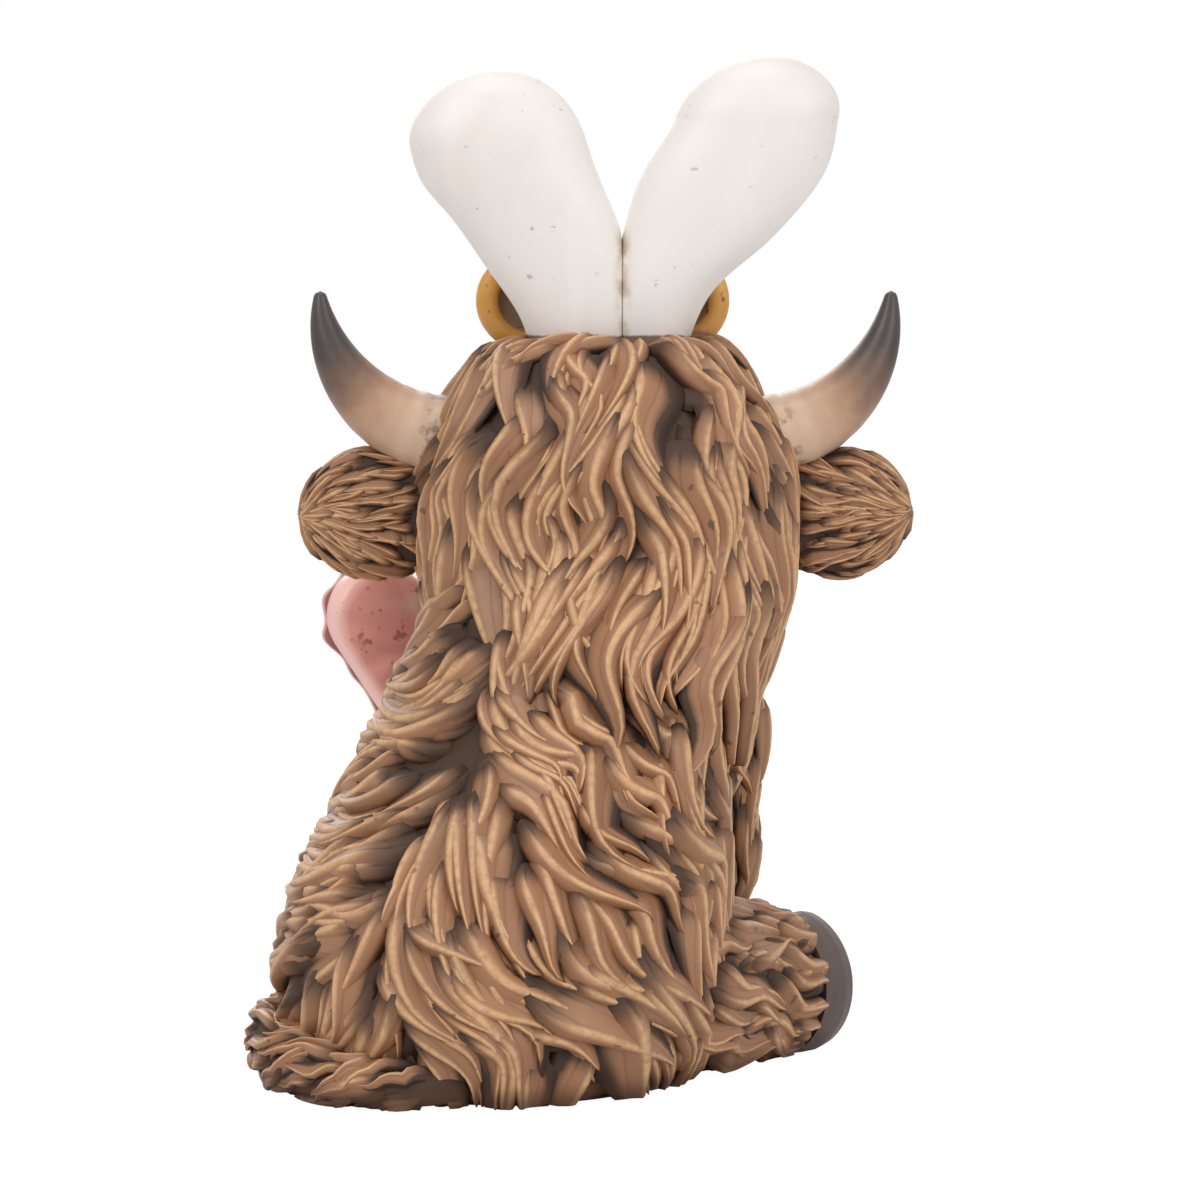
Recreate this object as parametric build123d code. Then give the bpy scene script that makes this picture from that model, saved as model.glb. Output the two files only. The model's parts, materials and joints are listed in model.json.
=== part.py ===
from build123d import *
import os
from math import asin, atan2, cos, degrees, pi, radians, sin

# Seated highland calf with rabbit ears, a bow and a heart: a painted resin ornament glued up from castings.
# Millimetres, +Z up, origin on the table under the middle of the rump.
# The display front faces -Y, and +X is the calf's left.

# Attitude, in degrees: the trunk points to the calf's right of the front, and the head looks to its left
TRUNK_TURN = 30.0
HEAD_TURN = 4.0

# Glued joints: gap round a dowel, dowel sizes, and how deep a casting is let into its neighbour
GLUE_GAP = 0.12
SEAT_DEPTH = 4.0
DOWEL_RADIUS = 1.2
DOWEL_LENGTH = 10.0
NECK_DOWEL_RADIUS = 2.5
NECK_DOWEL_LENGTH = 22.0

# Trunk, from the table up: height, half width, half depth and forward lean of each section
FOOTPRINT_HALF_WIDTH = 27.5
FOOTPRINT_HALF_DEPTH = 28.0
HIP_HEIGHT = 6.0
HIP_HALF_WIDTH = 30.5
HIP_HALF_DEPTH = 30.5
RUMP_HEIGHT = 15.0
RUMP_HALF_WIDTH = 32.0
RUMP_HALF_DEPTH = 32.0
FLANK_HEIGHT = 37.0
FLANK_HALF_WIDTH = 29.5
FLANK_HALF_DEPTH = 25.5
FLANK_LEAN = 7.5
CHEST_HEIGHT = 51.0
CHEST_HALF_WIDTH = 26.0
CHEST_HALF_DEPTH = 20.5
CHEST_LEAN = 14.5
NECK_HEIGHT = 74.0
NECK_RADIUS = 13.0
NECK_LEAN = 30.0

# Head, from the hem of the mane, which hangs below the top of the neck, up to the flat crown that the
# rabbit ears stand on. Shares say how far up the head, from 0 at the hem to 1 at the crown, a place lies
HEM_DROP = 17.0
HEAD_HEIGHT = 47.0
HEM_HALF_WIDTH = 21.0
HEM_HALF_DEPTH = 20.5
MANE_SHARE = 0.34
MANE_HALF_WIDTH = 27.5
MANE_HALF_DEPTH = 26.0
BROW_SHARE = 0.723
BROW_HALF_WIDTH = 25.0
BROW_HALF_DEPTH = 24.0
CROWN_HALF_WIDTH = 18.0
CROWN_HALF_DEPTH = 14.5
CROWN_FORWARD = 3.0

# Coat: the main locks, each a flat leaf that lies on the surface with its root sunk in.
# Swell gives places along it and the width and thickness there as shares of the greatest
LOCK_HALF_WIDTH = 3.1
LOCK_HALF_THICKNESS = 2.2
LOCK_SWELL = ((0, 0.4), (0.18, 0.86), (0.4, 1.0), (0.7, 0.66), (1, 0.08))
LOCK_LIFT = 9.0
LOCK_TILT = 18.0
LOCK_STRAY = 16.0
LOCK_VARIETY = 0.3
LOCK_SPOTS = (-0.5, -0.25, 0, 0.25, 0.5)
LOCK_HALF_ANGLE = 128.0
LOCK_ROW = 3.0
LOCK_SPACING = 6.5
TRUNK_LOCK_LENGTH = 16.0
TRUNK_LOCK_LOW = 13.0
TRUNK_LOCK_HIGH = 58.0
TRUNK_LEFT_SWEEP = 62.0
TRUNK_RIGHT_SWEEP = 36.0
TRUNK_PARTING = 25.0
MANE_LOCK_LENGTH = 18.0
MANE_LOCK_LOW = 7.0
MANE_LOCK_HIGH = 37.0
MANE_SWEEP = 14.0

# Horns: out of the side of the head, then a quarter turn up to a blunt point
HORN_SHARE = 0.691
HORN_ROOT_RADIUS = 6.0
HORN_TIP_RADIUS = 0.7
HORN_SPREAD = 21.0
HORN_TAPER_POWER = 1.8
HORN_RISE = 21.5
HORN_STATIONS = 7

# Furry ears: broad paddles under the horns
EAR_DROP = 11.7
EAR_REACH = 17.3
EAR_LOBE_SHARE = 0.55
EAR_RISE = 2.0
EAR_ROOT_HALF_HEIGHT = 7.6
EAR_HALF_HEIGHT = 9.3
EAR_HALF_THICKNESS = 4.2
EAR_HOLLOW = 1.6
EAR_HOLLOW_MARGIN = 2.4

# Clubs, such as both kinds of ear: rings up to the widest place, then angles of the rings round the end.
# The hollow stops where the club is less wide than this share of its margin
CLUB_RINGS = 5
CLUB_END_ANGLES = (0, 25, 48, 66, 80, 87)
CLUB_HOLLOW_SHARE = 1.6

# Rabbit ears: clubs side by side on the crown, the right one longer
RABBIT_SHIFT = -2.1
RABBIT_LEFT_LEAN = 23.0
RABBIT_RIGHT_LEAN = 26.5
RABBIT_FOOT_OFFSET = 6.0
RABBIT_LENGTH = 41.0
RABBIT_RIGHT_EXTRA = 3.3
RABBIT_FOOT_HALF_WIDTH = 7.2
RABBIT_FOOT_HALF_THICKNESS = 5.2
RABBIT_LOBE_HALF_WIDTH = 13.0
RABBIT_HALF_THICKNESS = 6.4
RABBIT_LOBE_SHARE = 0.68
RABBIT_HOLLOW = 2.0
RABBIT_HOLLOW_MARGIN = 3.6

# Bow in front of the rabbit ears: two loops, hollow at the back, and a knot, standing on the crown
BOW_HALF_SPAN = 18.8
BOW_LOOP_RADIUS = 7.6
BOW_CENTRE_RISE = 5.5
BOW_THICKNESS = 6.5
BOW_WALL = 1.6
BOW_EDGE_RADIUS = 1.2
BOW_KNOT_RADIUS = 4.4

# Muzzle with two nostrils, and eyes
MUZZLE_SHARE = 0.266
MUZZLE_HALF_WIDTH = 14.5
MUZZLE_HALF_HEIGHT = 10.5
MUZZLE_REACH = 12.0
MUZZLE_TAPER = 3.0
MUZZLE_EDGE_RADIUS = 3.5
MUZZLE_WIDEST_SHARE = 0.4
NOSTRIL_RADIUS = 2.4
NOSTRIL_SPACING = 13.0
EYE_RADIUS = 4.0
EYE_SHARE = 0.585
EYE_ANGLE = 30.0

# Forelock: a shell over the front of the head whose hem is cut into locks
FORELOCK_COUNT = 7
FORELOCK_FALL = 21.0
FORELOCK_RAKE = 0.3
FORELOCK_NOTCH = 7.0
FORELOCK_HALF_SPAN = 17.5
FORELOCK_THICKNESS = 3.2

# Heart held at the calf's left: a back with a rounded edge, a groove, and a rim round the front
HEART_HALF_WIDTH = 13.5
HEART_HEIGHT = 30.0
HEART_LOBE_RADIUS = 7.9
HEART_BACK_THICKNESS = 5.0
HEART_GROOVE_WIDTH = 1.4
HEART_GROOVE_DEPTH = 1.2
HEART_RIM_THICKNESS = 2.2
HEART_EDGE_RADIUS = 1.8
HEART_RIM_RADIUS = 0.8
HEART_ACROSS = 13.3
HEART_AHEAD = 45.0
HEART_DROP = 34.5
HEART_TURN = 22.0
HEART_HOLD_HEIGHT = 12.0
HEART_HOLD_INWARD = 2.5
HEART_POINT_RADIUS = 1.5

# Hind legs lie along the table with their soles to the front
TABLE_FLAT = 0.8
HIP_ACROSS = 18.0
HIP_AHEAD = 2.0
HIP_RADIUS = 14.5
HIND_ANKLE_ACROSS = 25.5
HIND_ANKLE_AHEAD = 34.0
HIND_ANKLE_RADIUS = 10.6
HIND_HOOF_RADIUS = 10.2
HIND_HOOF_LENGTH = 7.5
HIND_LEG_RINGS = (0, 0.35, 0.7, 1)
HIND_LEG_FULLNESS = 1.25

# Forelegs: the right one stands between the hind legs, and the left one reaches out to the heart.
# A drop is measured down from the top of the neck
SHOULDER_ACROSS = 11.8
SHOULDER_AHEAD = 30.0
SHOULDER_DROP = 19.0
SHOULDER_RADIUS = 9.5
ELBOW_ACROSS = 12.3
ELBOW_AHEAD = 36.0
ELBOW_HEIGHT = 32.0
ELBOW_RADIUS = 8.8
WITHERS_ACROSS = 8.0
WITHERS_AHEAD = 24.0
WITHERS_DROP = 13.0
WITHERS_RADIUS = 6.5
FORE_ANKLE_ACROSS = 7.6
FORE_ANKLE_AHEAD = 41.0
FORE_ANKLE_RADIUS = 6.2
FORE_HOOF_RADIUS = 6.4
FORE_HOOF_LENGTH = 7.0
LEFT_ELBOW_DROP = 3.0
LEFT_ELBOW_SHARE = 0.5

# Hooves: slope of the wall, round of the sole's edge, and the cleft down the middle
HOOF_FLARE = 0.7
HOOF_EDGE_RADIUS = 1.6
CLEFT_WIDTH = 1.6
CLEFT_DEPTH = 2.2

# Tail: lies round the left of the rump and ends in a tuft
TAIL_ROOT_RING = 25.0
TAIL_RING = 31.0
TAIL_TIP_RING = 32.0
TAIL_ROOT_SHARE = 0.25
TAIL_ROOT_ANGLE = 84.0
TAIL_TIP_ANGLE = -8.0
TAIL_RADIUS = 4.0
TAIL_TUFT_RADIUS = 5.5
TAIL_TIP_RADIUS = 2.0
TAIL_TUFT_RISE = 6.0
TAIL_TUFT_SHARE = 0.54
TAIL_STATIONS = 9

# Heights that follow from the neck and the head
HEM_HEIGHT = NECK_HEIGHT - HEM_DROP
CROWN_HEIGHT = HEM_HEIGHT + HEAD_HEIGHT
MANE_HEIGHT = HEM_HEIGHT + MANE_SHARE * HEAD_HEIGHT
BROW_HEIGHT = HEM_HEIGHT + BROW_SHARE * HEAD_HEIGHT
HORN_HEIGHT = HEM_HEIGHT + HORN_SHARE * HEAD_HEIGHT
EAR_HEIGHT = HORN_HEIGHT - EAR_DROP
MUZZLE_HEIGHT = HEM_HEIGHT + MUZZLE_SHARE * HEAD_HEIGHT
EYE_HEIGHT = HEM_HEIGHT + EYE_SHARE * HEAD_HEIGHT
HEART_FOOT_HEIGHT = NECK_HEIGHT - HEART_DROP
SHOULDER_HEIGHT = NECK_HEIGHT - SHOULDER_DROP
WITHERS_HEIGHT = NECK_HEIGHT - WITHERS_DROP

# Step of an even scatter
GOLDEN_SHARE = 0.618

UP = Vector(0, 0, 1)
LEFT = Vector(1, 0, 0)
BACK = Vector(0, 1, 0)
FACING_FRONT = Plane(origin=(0, 0, 0), x_dir=(1, 0, 0), z_dir=(0, -1, 0))


def largest(shape):
    """The biggest solid of a cut shape."""
    return max(shape.solids(), key=lambda solid: solid.volume)


def turned(vector, angle):
    """A vector turned about the vertical."""
    return vector.rotate(Axis.Z, angle)


def from_trunk(x, y, z):
    """A point given square to the trunk, in the part's frame."""
    return turned(Vector(x, y, z), -TRUNK_TURN)


NECK_POINT = from_trunk(0, -NECK_LEAN, 0)


def on_trunk(shape):
    """A piece modelled square to the trunk, in the part's frame."""
    return Rot(0, 0, -TRUNK_TURN) * shape


def on_head(shape):
    """A piece modelled about the head's own axis, in the part's frame."""
    return Pos(NECK_POINT) * Rot(0, 0, HEAD_TURN) * shape


def mirrored(shape):
    """The same piece for the other side."""
    return mirror(shape, about=Plane.YZ)


def upright(sections):
    """A loft through level ellipses, each given as (height, half width, half depth, forward lean)."""
    return loft([Pos(0, -lean, height) * Ellipse(wide, deep) for height, wide, deep, lean in sections])


def along(points, sizes, thin, finish=None):
    """A loft of ellipses carried along a path and square to it.

    Each size is the half width, square to the thin direction, and the half thickness along it.
    A finish gives the direction of the path at its end.
    """
    rings = []
    last = len(points) - 1
    for i, (point, (wide, deep)) in enumerate(zip(points, sizes)):
        tangent = points[min(i + 1, last)] - points[max(i - 1, 0)]
        if finish and i == last:
            tangent = finish
        rings.append(Plane(origin=point, x_dir=thin.cross(tangent), z_dir=tangent) * Ellipse(wide, deep))
    return loft(rings)


def limb(points, radii, thin, finish=None):
    """A round limb along a path."""
    return along(points, [(radius, radius) for radius in radii], thin, finish)


def dowel_and_bore(centre, direction, radius=DOWEL_RADIUS, length=DOWEL_LENGTH):
    """A dowel across a glued joint, and the bore for it."""
    axis = Plane(origin=centre, z_dir=direction)
    return axis * Cylinder(radius, length), axis * Cylinder(radius + GLUE_GAP, length + 2 * GLUE_GAP)


def foreleg(points, radii, thin, sole_direction):
    """A foreleg that runs on into its hoof, cut square where the hoof begins."""
    past = points[-1] + sole_direction * SEAT_DEPTH
    leg = limb(points + [past], radii + [radii[-1]], thin, sole_direction)
    return split(leg, bisect_by=Plane(origin=points[-1], z_dir=-sole_direction), keep=Keep.TOP)


def above_table(shape):
    """Cut away what would lie under the table."""
    return split(shape, bisect_by=Plane.XY, keep=Keep.TOP)


def between(low, high, share):
    """A value part of the way from low to high."""
    return low + (high - low) * share


def trunk_sections():
    """Sections of the pear-shaped trunk, which leans forward from its flat footprint to the neck stub."""
    return [
        (0, FOOTPRINT_HALF_WIDTH, FOOTPRINT_HALF_DEPTH, 0),
        (HIP_HEIGHT, HIP_HALF_WIDTH, HIP_HALF_DEPTH, 0),
        (RUMP_HEIGHT, RUMP_HALF_WIDTH, RUMP_HALF_DEPTH, 0),
        (FLANK_HEIGHT, FLANK_HALF_WIDTH, FLANK_HALF_DEPTH, FLANK_LEAN),
        (CHEST_HEIGHT, CHEST_HALF_WIDTH, CHEST_HALF_DEPTH, CHEST_LEAN),
        (NECK_HEIGHT, NECK_RADIUS, NECK_RADIUS, NECK_LEAN),
    ]


def head_sections():
    """Sections of the mane from its hem up to the crown."""
    return [
        (HEM_HEIGHT, HEM_HALF_WIDTH, HEM_HALF_DEPTH, 0),
        (MANE_HEIGHT, MANE_HALF_WIDTH, MANE_HALF_DEPTH, 0),
        (BROW_HEIGHT, BROW_HALF_WIDTH, BROW_HALF_DEPTH, 0),
        (CROWN_HEIGHT, CROWN_HALF_WIDTH, CROWN_HALF_DEPTH, CROWN_FORWARD),
    ]


def section_at(sections, height):
    """Half width, half depth and lean at a height, straight between two sections."""
    high = next((section for section in sections[1:] if section[0] >= height), sections[-1])
    low = sections[sections.index(high) - 1]
    share = (height - low[0]) / (high[0] - low[0])
    return [between(low[k], high[k], share) for k in (1, 2, 3)]


def face_point(angle, height):
    """A point about the front of the head, at an angle from straight ahead."""
    wide, deep, lean = section_at(head_sections(), height)
    return Vector(wide * sin(radians(angle)), -lean - deep * cos(radians(angle)), height)


def surface_point(solid, sections, angle, height):
    """A point on a solid's side, the direction out of its surface there, and its distance from the axis.

    The angle is from the back towards the left. Past the first and last sections the side goes straight on.
    """
    inside = min(max(height, sections[0][0] + GLUE_GAP), sections[-1][0] - GLUE_GAP)
    centre = Vector(0, -section_at(sections, inside)[2], inside)
    level = Vector(sin(radians(angle)), cos(radians(angle)), 0)
    hits = solid.find_intersection_points(Axis(centre, level))
    point, out = max(hits, key=lambda hit: (hit[0] - centre).dot(level))
    return point + UP * (height - inside), out, (point - centre).length


def make_lock(length):
    """A lock of hair, root at -Z and tip at +Z: flat ellipses that swell and run out to a point."""
    rings = []
    for share, swell in LOCK_SWELL:
        ring = Ellipse(LOCK_HALF_WIDTH * swell, LOCK_HALF_THICKNESS * swell)
        rings.append(Pos(0, 0, between(-length / 2, length / 2, share)) * ring)
    return loft(rings)


def comb(solid, sections, heights, length, sweep):
    """Locks in rows round the back and the sides of a solid, the heading given by the sweep.

    Each lies on the surface with its root sunk in, its tip lifted and the edge on one side raised.
    A lock is left out where it would come too close to one that is already there.
    """
    locks, taken = [], []
    for row, height in enumerate(heights):
        girth = surface_point(solid, sections, LOCK_HALF_ANGLE / 2, height)[2]
        count = round(2 * radians(LOCK_HALF_ANGLE) * girth / LOCK_ROW)
        for i in range(count):
            scatter = (i * GOLDEN_SHARE + row / 2) % 1 - 0.5
            angle = LOCK_HALF_ANGLE * (2 * (i + scatter) / count - 1)
            point, out, girth = surface_point(solid, sections, angle, height)
            around = out.cross(UP).normalized()
            bearing = radians(sweep(angle) + LOCK_STRAY * scatter)
            tangent = out.cross(around) * cos(bearing) + around * sin(bearing)
            spots = [point + tangent * (length * share) for share in LOCK_SPOTS]
            if any((spot - other).length < LOCK_SPACING for spot in spots for other in taken):
                continue
            taken.extend(spots)
            seat = Plane(origin=point, x_dir=out.cross(tangent), z_dir=tangent)
            roll = LOCK_TILT if scatter > 0 else -LOCK_TILT
            own_length = length * (1 + LOCK_VARIETY * scatter)
            locks.append(seat * (Rot(-LOCK_LIFT, 0, 0) * Rot(0, 0, roll) * make_lock(own_length)))
    return locks


def rows_between(low, high):
    """Heights of rows from the top down."""
    return [high - LOCK_ROW * row for row in range(int((high - low) / LOCK_ROW) + 1)]


def trunk_sweep(angle):
    """Heading of the trunk's locks from straight down: out to each side of a parting down the spine."""
    widest = TRUNK_LEFT_SWEEP if angle > 0 else TRUNK_RIGHT_SWEEP
    return widest * max(-1.0, min(1.0, angle / TRUNK_PARTING))


def mane_sweep(angle):
    """Heading of the mane's locks from straight down: a little outward at the sides."""
    return MANE_SWEEP * sin(radians(angle))


def make_horn():
    """Left horn: a quarter turn of tapering round, out of the side of the head and up."""
    points, radii = [], []
    for i in range(HORN_STATIONS):
        share = i / (HORN_STATIONS - 1)
        turn = share * pi / 2
        out = BROW_HALF_WIDTH - SEAT_DEPTH + HORN_SPREAD * sin(turn)
        points.append(Vector(out, 0, HORN_HEIGHT + HORN_RISE * (1 - cos(turn))))
        radii.append(between(HORN_ROOT_RADIUS, HORN_TIP_RADIUS, share**HORN_TAPER_POWER))
    return limb(points, radii, BACK)


def paddle(foot, lobe, share, length, hollow, margin, start, direction):
    """A flat club with a rounded end and a hollowed front.

    foot and lobe are (half width, half thickness), and share says where along the length it is widest.
    """
    stations = []
    for i in range(CLUB_RINGS):
        stations.append((share * i / CLUB_RINGS, sin(pi / 2 * i / CLUB_RINGS) ** 2, 1.0))
    for degrees_round in CLUB_END_ANGLES:
        turn = radians(degrees_round)
        stations.append((between(share, 1.0, sin(turn)), 1.0, cos(turn)))
    points, sizes, scoop_points, scoop_sizes = [], [], [], []
    for place, swell, shrink in stations:
        wide = between(foot[0], lobe[0], swell) * shrink
        thick = between(foot[1], lobe[1], swell) * shrink
        points.append(start + direction * (place * length))
        sizes.append((wide, thick))
        if place > 0 and wide > CLUB_HOLLOW_SHARE * margin:
            scoop_points.append(points[-1] - BACK * thick)
            scoop_sizes.append((wide - margin, hollow))
    return along(points, sizes, BACK) - along(scoop_points, scoop_sizes, BACK)


def make_ear():
    """Left furry ear, let into the side of the mane."""
    return paddle(
        (EAR_ROOT_HALF_HEIGHT, EAR_HALF_THICKNESS),
        (EAR_HALF_HEIGHT, EAR_HALF_THICKNESS),
        EAR_LOBE_SHARE,
        EAR_REACH + SEAT_DEPTH,
        EAR_HOLLOW,
        EAR_HOLLOW_MARGIN,
        Vector(MANE_HALF_WIDTH - SEAT_DEPTH, 0, EAR_HEIGHT),
        Vector(cos(radians(EAR_RISE)), 0, sin(radians(EAR_RISE))),
    )


def rabbit_axis(side):
    """The foot of a rabbit ear on the crown and the direction that it leans in, with side 1 for the left."""
    lean = radians(RABBIT_LEFT_LEAN if side > 0 else RABBIT_RIGHT_LEAN)
    foot = Vector(RABBIT_SHIFT + side * RABBIT_FOOT_OFFSET, 0, CROWN_HEIGHT)
    return foot, Vector(side * sin(lean), 0, cos(lean))


def make_rabbit_ear(side, length):
    """A rabbit ear, cut flat where it stands on the crown and where it meets the other ear."""
    foot, direction = rabbit_axis(side)
    club = paddle(
        (RABBIT_FOOT_HALF_WIDTH, RABBIT_FOOT_HALF_THICKNESS),
        (RABBIT_LOBE_HALF_WIDTH, RABBIT_HALF_THICKNESS),
        RABBIT_LOBE_SHARE,
        length + SEAT_DEPTH,
        RABBIT_HOLLOW,
        RABBIT_HOLLOW_MARGIN,
        foot - direction * SEAT_DEPTH,
        direction,
    )
    reach = 2 * length
    club -= Pos(RABBIT_SHIFT, 0, CROWN_HEIGHT - reach / 2) * Box(2 * reach, reach, reach)
    club -= Pos(RABBIT_SHIFT - side * reach / 2, 0, CROWN_HEIGHT) * Box(reach, reach, 2 * reach)
    return largest(club)


def touch_points(centre, radius):
    """Where the two tangents from the origin touch a circle."""
    away = atan2(centre.Y, centre.X)
    swing = asin(radius / centre.length)
    reach = centre.length * cos(swing)
    return [(reach * cos(away + turn), reach * sin(away + turn)) for turn in (-swing, swing)]


def drop(half_span, radius):
    """Outline of a round lobe drawn out by two tangents to a point at the origin."""
    centre = Vector(half_span - radius, 0)
    return Pos(centre) * Circle(radius) + Polygon((0, 0), *touch_points(centre, radius), align=None)


def make_bow():
    """Two lobes, each hollow at the back, and a round knot."""
    lobe = extrude(drop(BOW_HALF_SPAN, BOW_LOOP_RADIUS), BOW_THICKNESS)
    lobe = fillet(lobe.edges().filter_by(GeomType.CIRCLE), BOW_EDGE_RADIUS)
    pocket = extrude(drop(BOW_HALF_SPAN - BOW_WALL, BOW_LOOP_RADIUS - BOW_WALL), BOW_THICKNESS - BOW_WALL)
    half = lobe - pocket
    knot = Pos(0, 0, BOW_THICKNESS / 2) * Cylinder(BOW_KNOT_RADIUS, BOW_THICKNESS)
    bow = FACING_FRONT * (half + mirrored(half) + knot)
    return Pos(0, -RABBIT_HALF_THICKNESS - GLUE_GAP, CROWN_HEIGHT + BOW_CENTRE_RISE) * bow


def eye_ball(spot, gap=0.0):
    """An eye or, with a gap, the socket for it, its poles to the front and the back."""
    return on_head(Pos(spot) * Rot(90, 0, 0) * Sphere(EYE_RADIUS + gap))


def make_muzzle():
    """Broad round muzzle, let into the front of the mane, with two nostrils."""
    front = -MANE_HALF_DEPTH - MUZZLE_REACH
    rings = []
    for y, wide, high in (
        (-MANE_HALF_DEPTH + 2 * SEAT_DEPTH, MUZZLE_HALF_WIDTH - MUZZLE_TAPER, MUZZLE_HALF_HEIGHT),
        (between(-MANE_HALF_DEPTH, front, MUZZLE_WIDEST_SHARE), MUZZLE_HALF_WIDTH, MUZZLE_HALF_HEIGHT),
        (front, MUZZLE_HALF_WIDTH - MUZZLE_TAPER, MUZZLE_HALF_HEIGHT - MUZZLE_TAPER),
    ):
        rings.append(Pos(0, y, MUZZLE_HEIGHT) * (FACING_FRONT * Ellipse(wide, high)))
    muzzle = loft(rings)
    muzzle = fillet(muzzle.edges().sort_by(Axis.Y)[0], MUZZLE_EDGE_RADIUS)
    for side in (1, -1):
        spot = (side * NOSTRIL_SPACING / 2, front, MUZZLE_HEIGHT + MUZZLE_TAPER / 2)
        muzzle -= Pos(*spot) * Sphere(NOSTRIL_RADIUS)
    return muzzle


def make_forelock():
    """Fringe round the front of the crown: a shell over the head, its hem cut into locks."""
    grow = 1 + FORELOCK_THICKNESS / BROW_HALF_WIDTH
    shell = scale(upright(head_sections()), by=(grow, grow, 1))
    half = FORELOCK_HALF_SPAN
    hem = [(half, CROWN_HEIGHT), (-half, CROWN_HEIGHT)]
    for i in range(2 * FORELOCK_COUNT + 1):
        across = half * (i / FORELOCK_COUNT - 1)
        drop_here = FORELOCK_FALL * (1 - FORELOCK_RAKE * (across / half) ** 2)
        hem.append((across, CROWN_HEIGHT - drop_here + FORELOCK_NOTCH * (1 - i % 2)))
    fringe = extrude(FACING_FRONT * Polygon(*hem, align=None), 2 * BROW_HALF_DEPTH)
    return shell & fringe


def heart_outline(inset=0.0):
    """Two round lobes and their tangents to the point below, drawn in by an inset."""
    lobe = Vector(HEART_HALF_WIDTH - HEART_LOBE_RADIUS, HEART_HEIGHT - HEART_LOBE_RADIUS)
    slope = atan2(lobe.X, lobe.Y) + asin(HEART_LOBE_RADIUS / lobe.length)
    foot = Vector(0, inset / sin(slope))
    outer, inner = touch_points(lobe - foot, HEART_LOBE_RADIUS - inset)
    half = Pos(lobe) * Circle(HEART_LOBE_RADIUS - inset) + Pos(foot) * Polygon(
        (0, 0), outer, inner, (0, lobe.Y), align=None
    )
    outline = half + mirrored(half)
    return fillet(outline.vertices().sort_by(Axis.Y)[0], HEART_POINT_RADIUS)


def make_heart():
    """Back with a rounded edge, a groove round it, and a rim with a soft edge in front."""
    back = extrude(heart_outline(), HEART_BACK_THICKNESS)
    back = fillet(back.edges().group_by(Axis.Z)[0], HEART_EDGE_RADIUS)
    core = extrude(heart_outline(HEART_GROOVE_DEPTH), HEART_BACK_THICKNESS + HEART_GROOVE_WIDTH)
    rim = extrude(heart_outline(), HEART_RIM_THICKNESS)
    rim = fillet(rim.edges().group_by(Axis.Z)[-1], HEART_RIM_RADIUS)
    return FACING_FRONT * (back + core + Pos(0, 0, HEART_BACK_THICKNESS + HEART_GROOVE_WIDTH) * rim)


def on_heart(shape):
    """A piece modelled about the point of the heart, in the part's frame."""
    return Pos(HEART_ACROSS, -HEART_AHEAD, HEART_FOOT_HEIGHT) * Rot(0, 0, HEART_TURN) * shape


def make_hoof(top_radius, sole_radius, length):
    """A cloven hoof from its sole up, toe towards -Y."""
    wall = sole_radius + HOOF_FLARE
    profile = Polygon(
        (0, 0), (sole_radius, 0), (wall, length / 2), (top_radius, length), (0, length), align=None
    )
    sole_edge = profile.vertices().group_by(Axis.Y)[0].sort_by(Axis.X)[-1]
    hoof = revolve(Plane.XZ * fillet(sole_edge, HOOF_EDGE_RADIUS), Axis.Z)
    hoof -= Box(CLEFT_WIDTH, 2 * wall, 2 * CLEFT_DEPTH)
    return hoof - Pos(0, -wall, 0) * Box(CLEFT_WIDTH, 2 * CLEFT_DEPTH, length)


def hind_axis():
    """Hip and ankle of the left hind leg, and the level direction from one to the other."""
    hip = Vector(HIP_ACROSS, -HIP_AHEAD, HIP_RADIUS - TABLE_FLAT)
    ankle = Vector(HIND_ANKLE_ACROSS, -HIND_ANKLE_AHEAD, HIND_ANKLE_RADIUS - TABLE_FLAT)
    return hip, ankle, Vector(ankle.X - hip.X, ankle.Y - hip.Y, 0).normalized()


def make_hind_leg():
    """Left hind leg: a tapering thigh and shank along the table."""
    hip, ankle, ahead = hind_axis()
    points = [hip + (ankle - hip) * share for share in HIND_LEG_RINGS]
    radii = [between(HIP_RADIUS, HIND_ANKLE_RADIUS, share**HIND_LEG_FULLNESS) for share in HIND_LEG_RINGS]
    return above_table(limb(points, radii, UP, ahead))


def make_hind_hoof():
    """Left hind hoof, sole to the front."""
    hip, ankle, ahead = hind_axis()
    seat = Plane(origin=ankle + ahead * HIND_HOOF_LENGTH, x_dir=UP.cross(ahead), z_dir=-ahead)
    hoof = make_hoof(HIND_ANKLE_RADIUS, HIND_HOOF_RADIUS, HIND_HOOF_LENGTH)
    return above_table(seat * (Rot(0, 0, 180) * hoof))


def make_tail():
    """Tail round the left of the rump, lifting into a tuft."""
    points, radii = [], []
    for i in range(TAIL_STATIONS):
        share = i / (TAIL_STATIONS - 1)
        angle = radians(between(TAIL_ROOT_ANGLE, TAIL_TIP_ANGLE, share))
        ring = between(TAIL_RING, TAIL_TIP_RING, share)
        ring -= (TAIL_RING - TAIL_ROOT_RING) * max(0.0, 1 - share / TAIL_ROOT_SHARE)
        lift = TAIL_TUFT_RISE * max(0.0, 2 * share - 1) ** 2
        tuft = max(0.0, 1 - ((share - TAIL_TUFT_SHARE) / (1 - TAIL_TUFT_SHARE)) ** 2)
        radius = between(TAIL_RADIUS, TAIL_TUFT_RADIUS, tuft)
        if i == TAIL_STATIONS - 1:
            radius = TAIL_TIP_RADIUS
        points.append(Vector(ring * cos(angle), ring * sin(angle), TAIL_RADIUS - TABLE_FLAT + lift))
        radii.append(radius)
    return above_table(limb(points, radii, UP))


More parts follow.
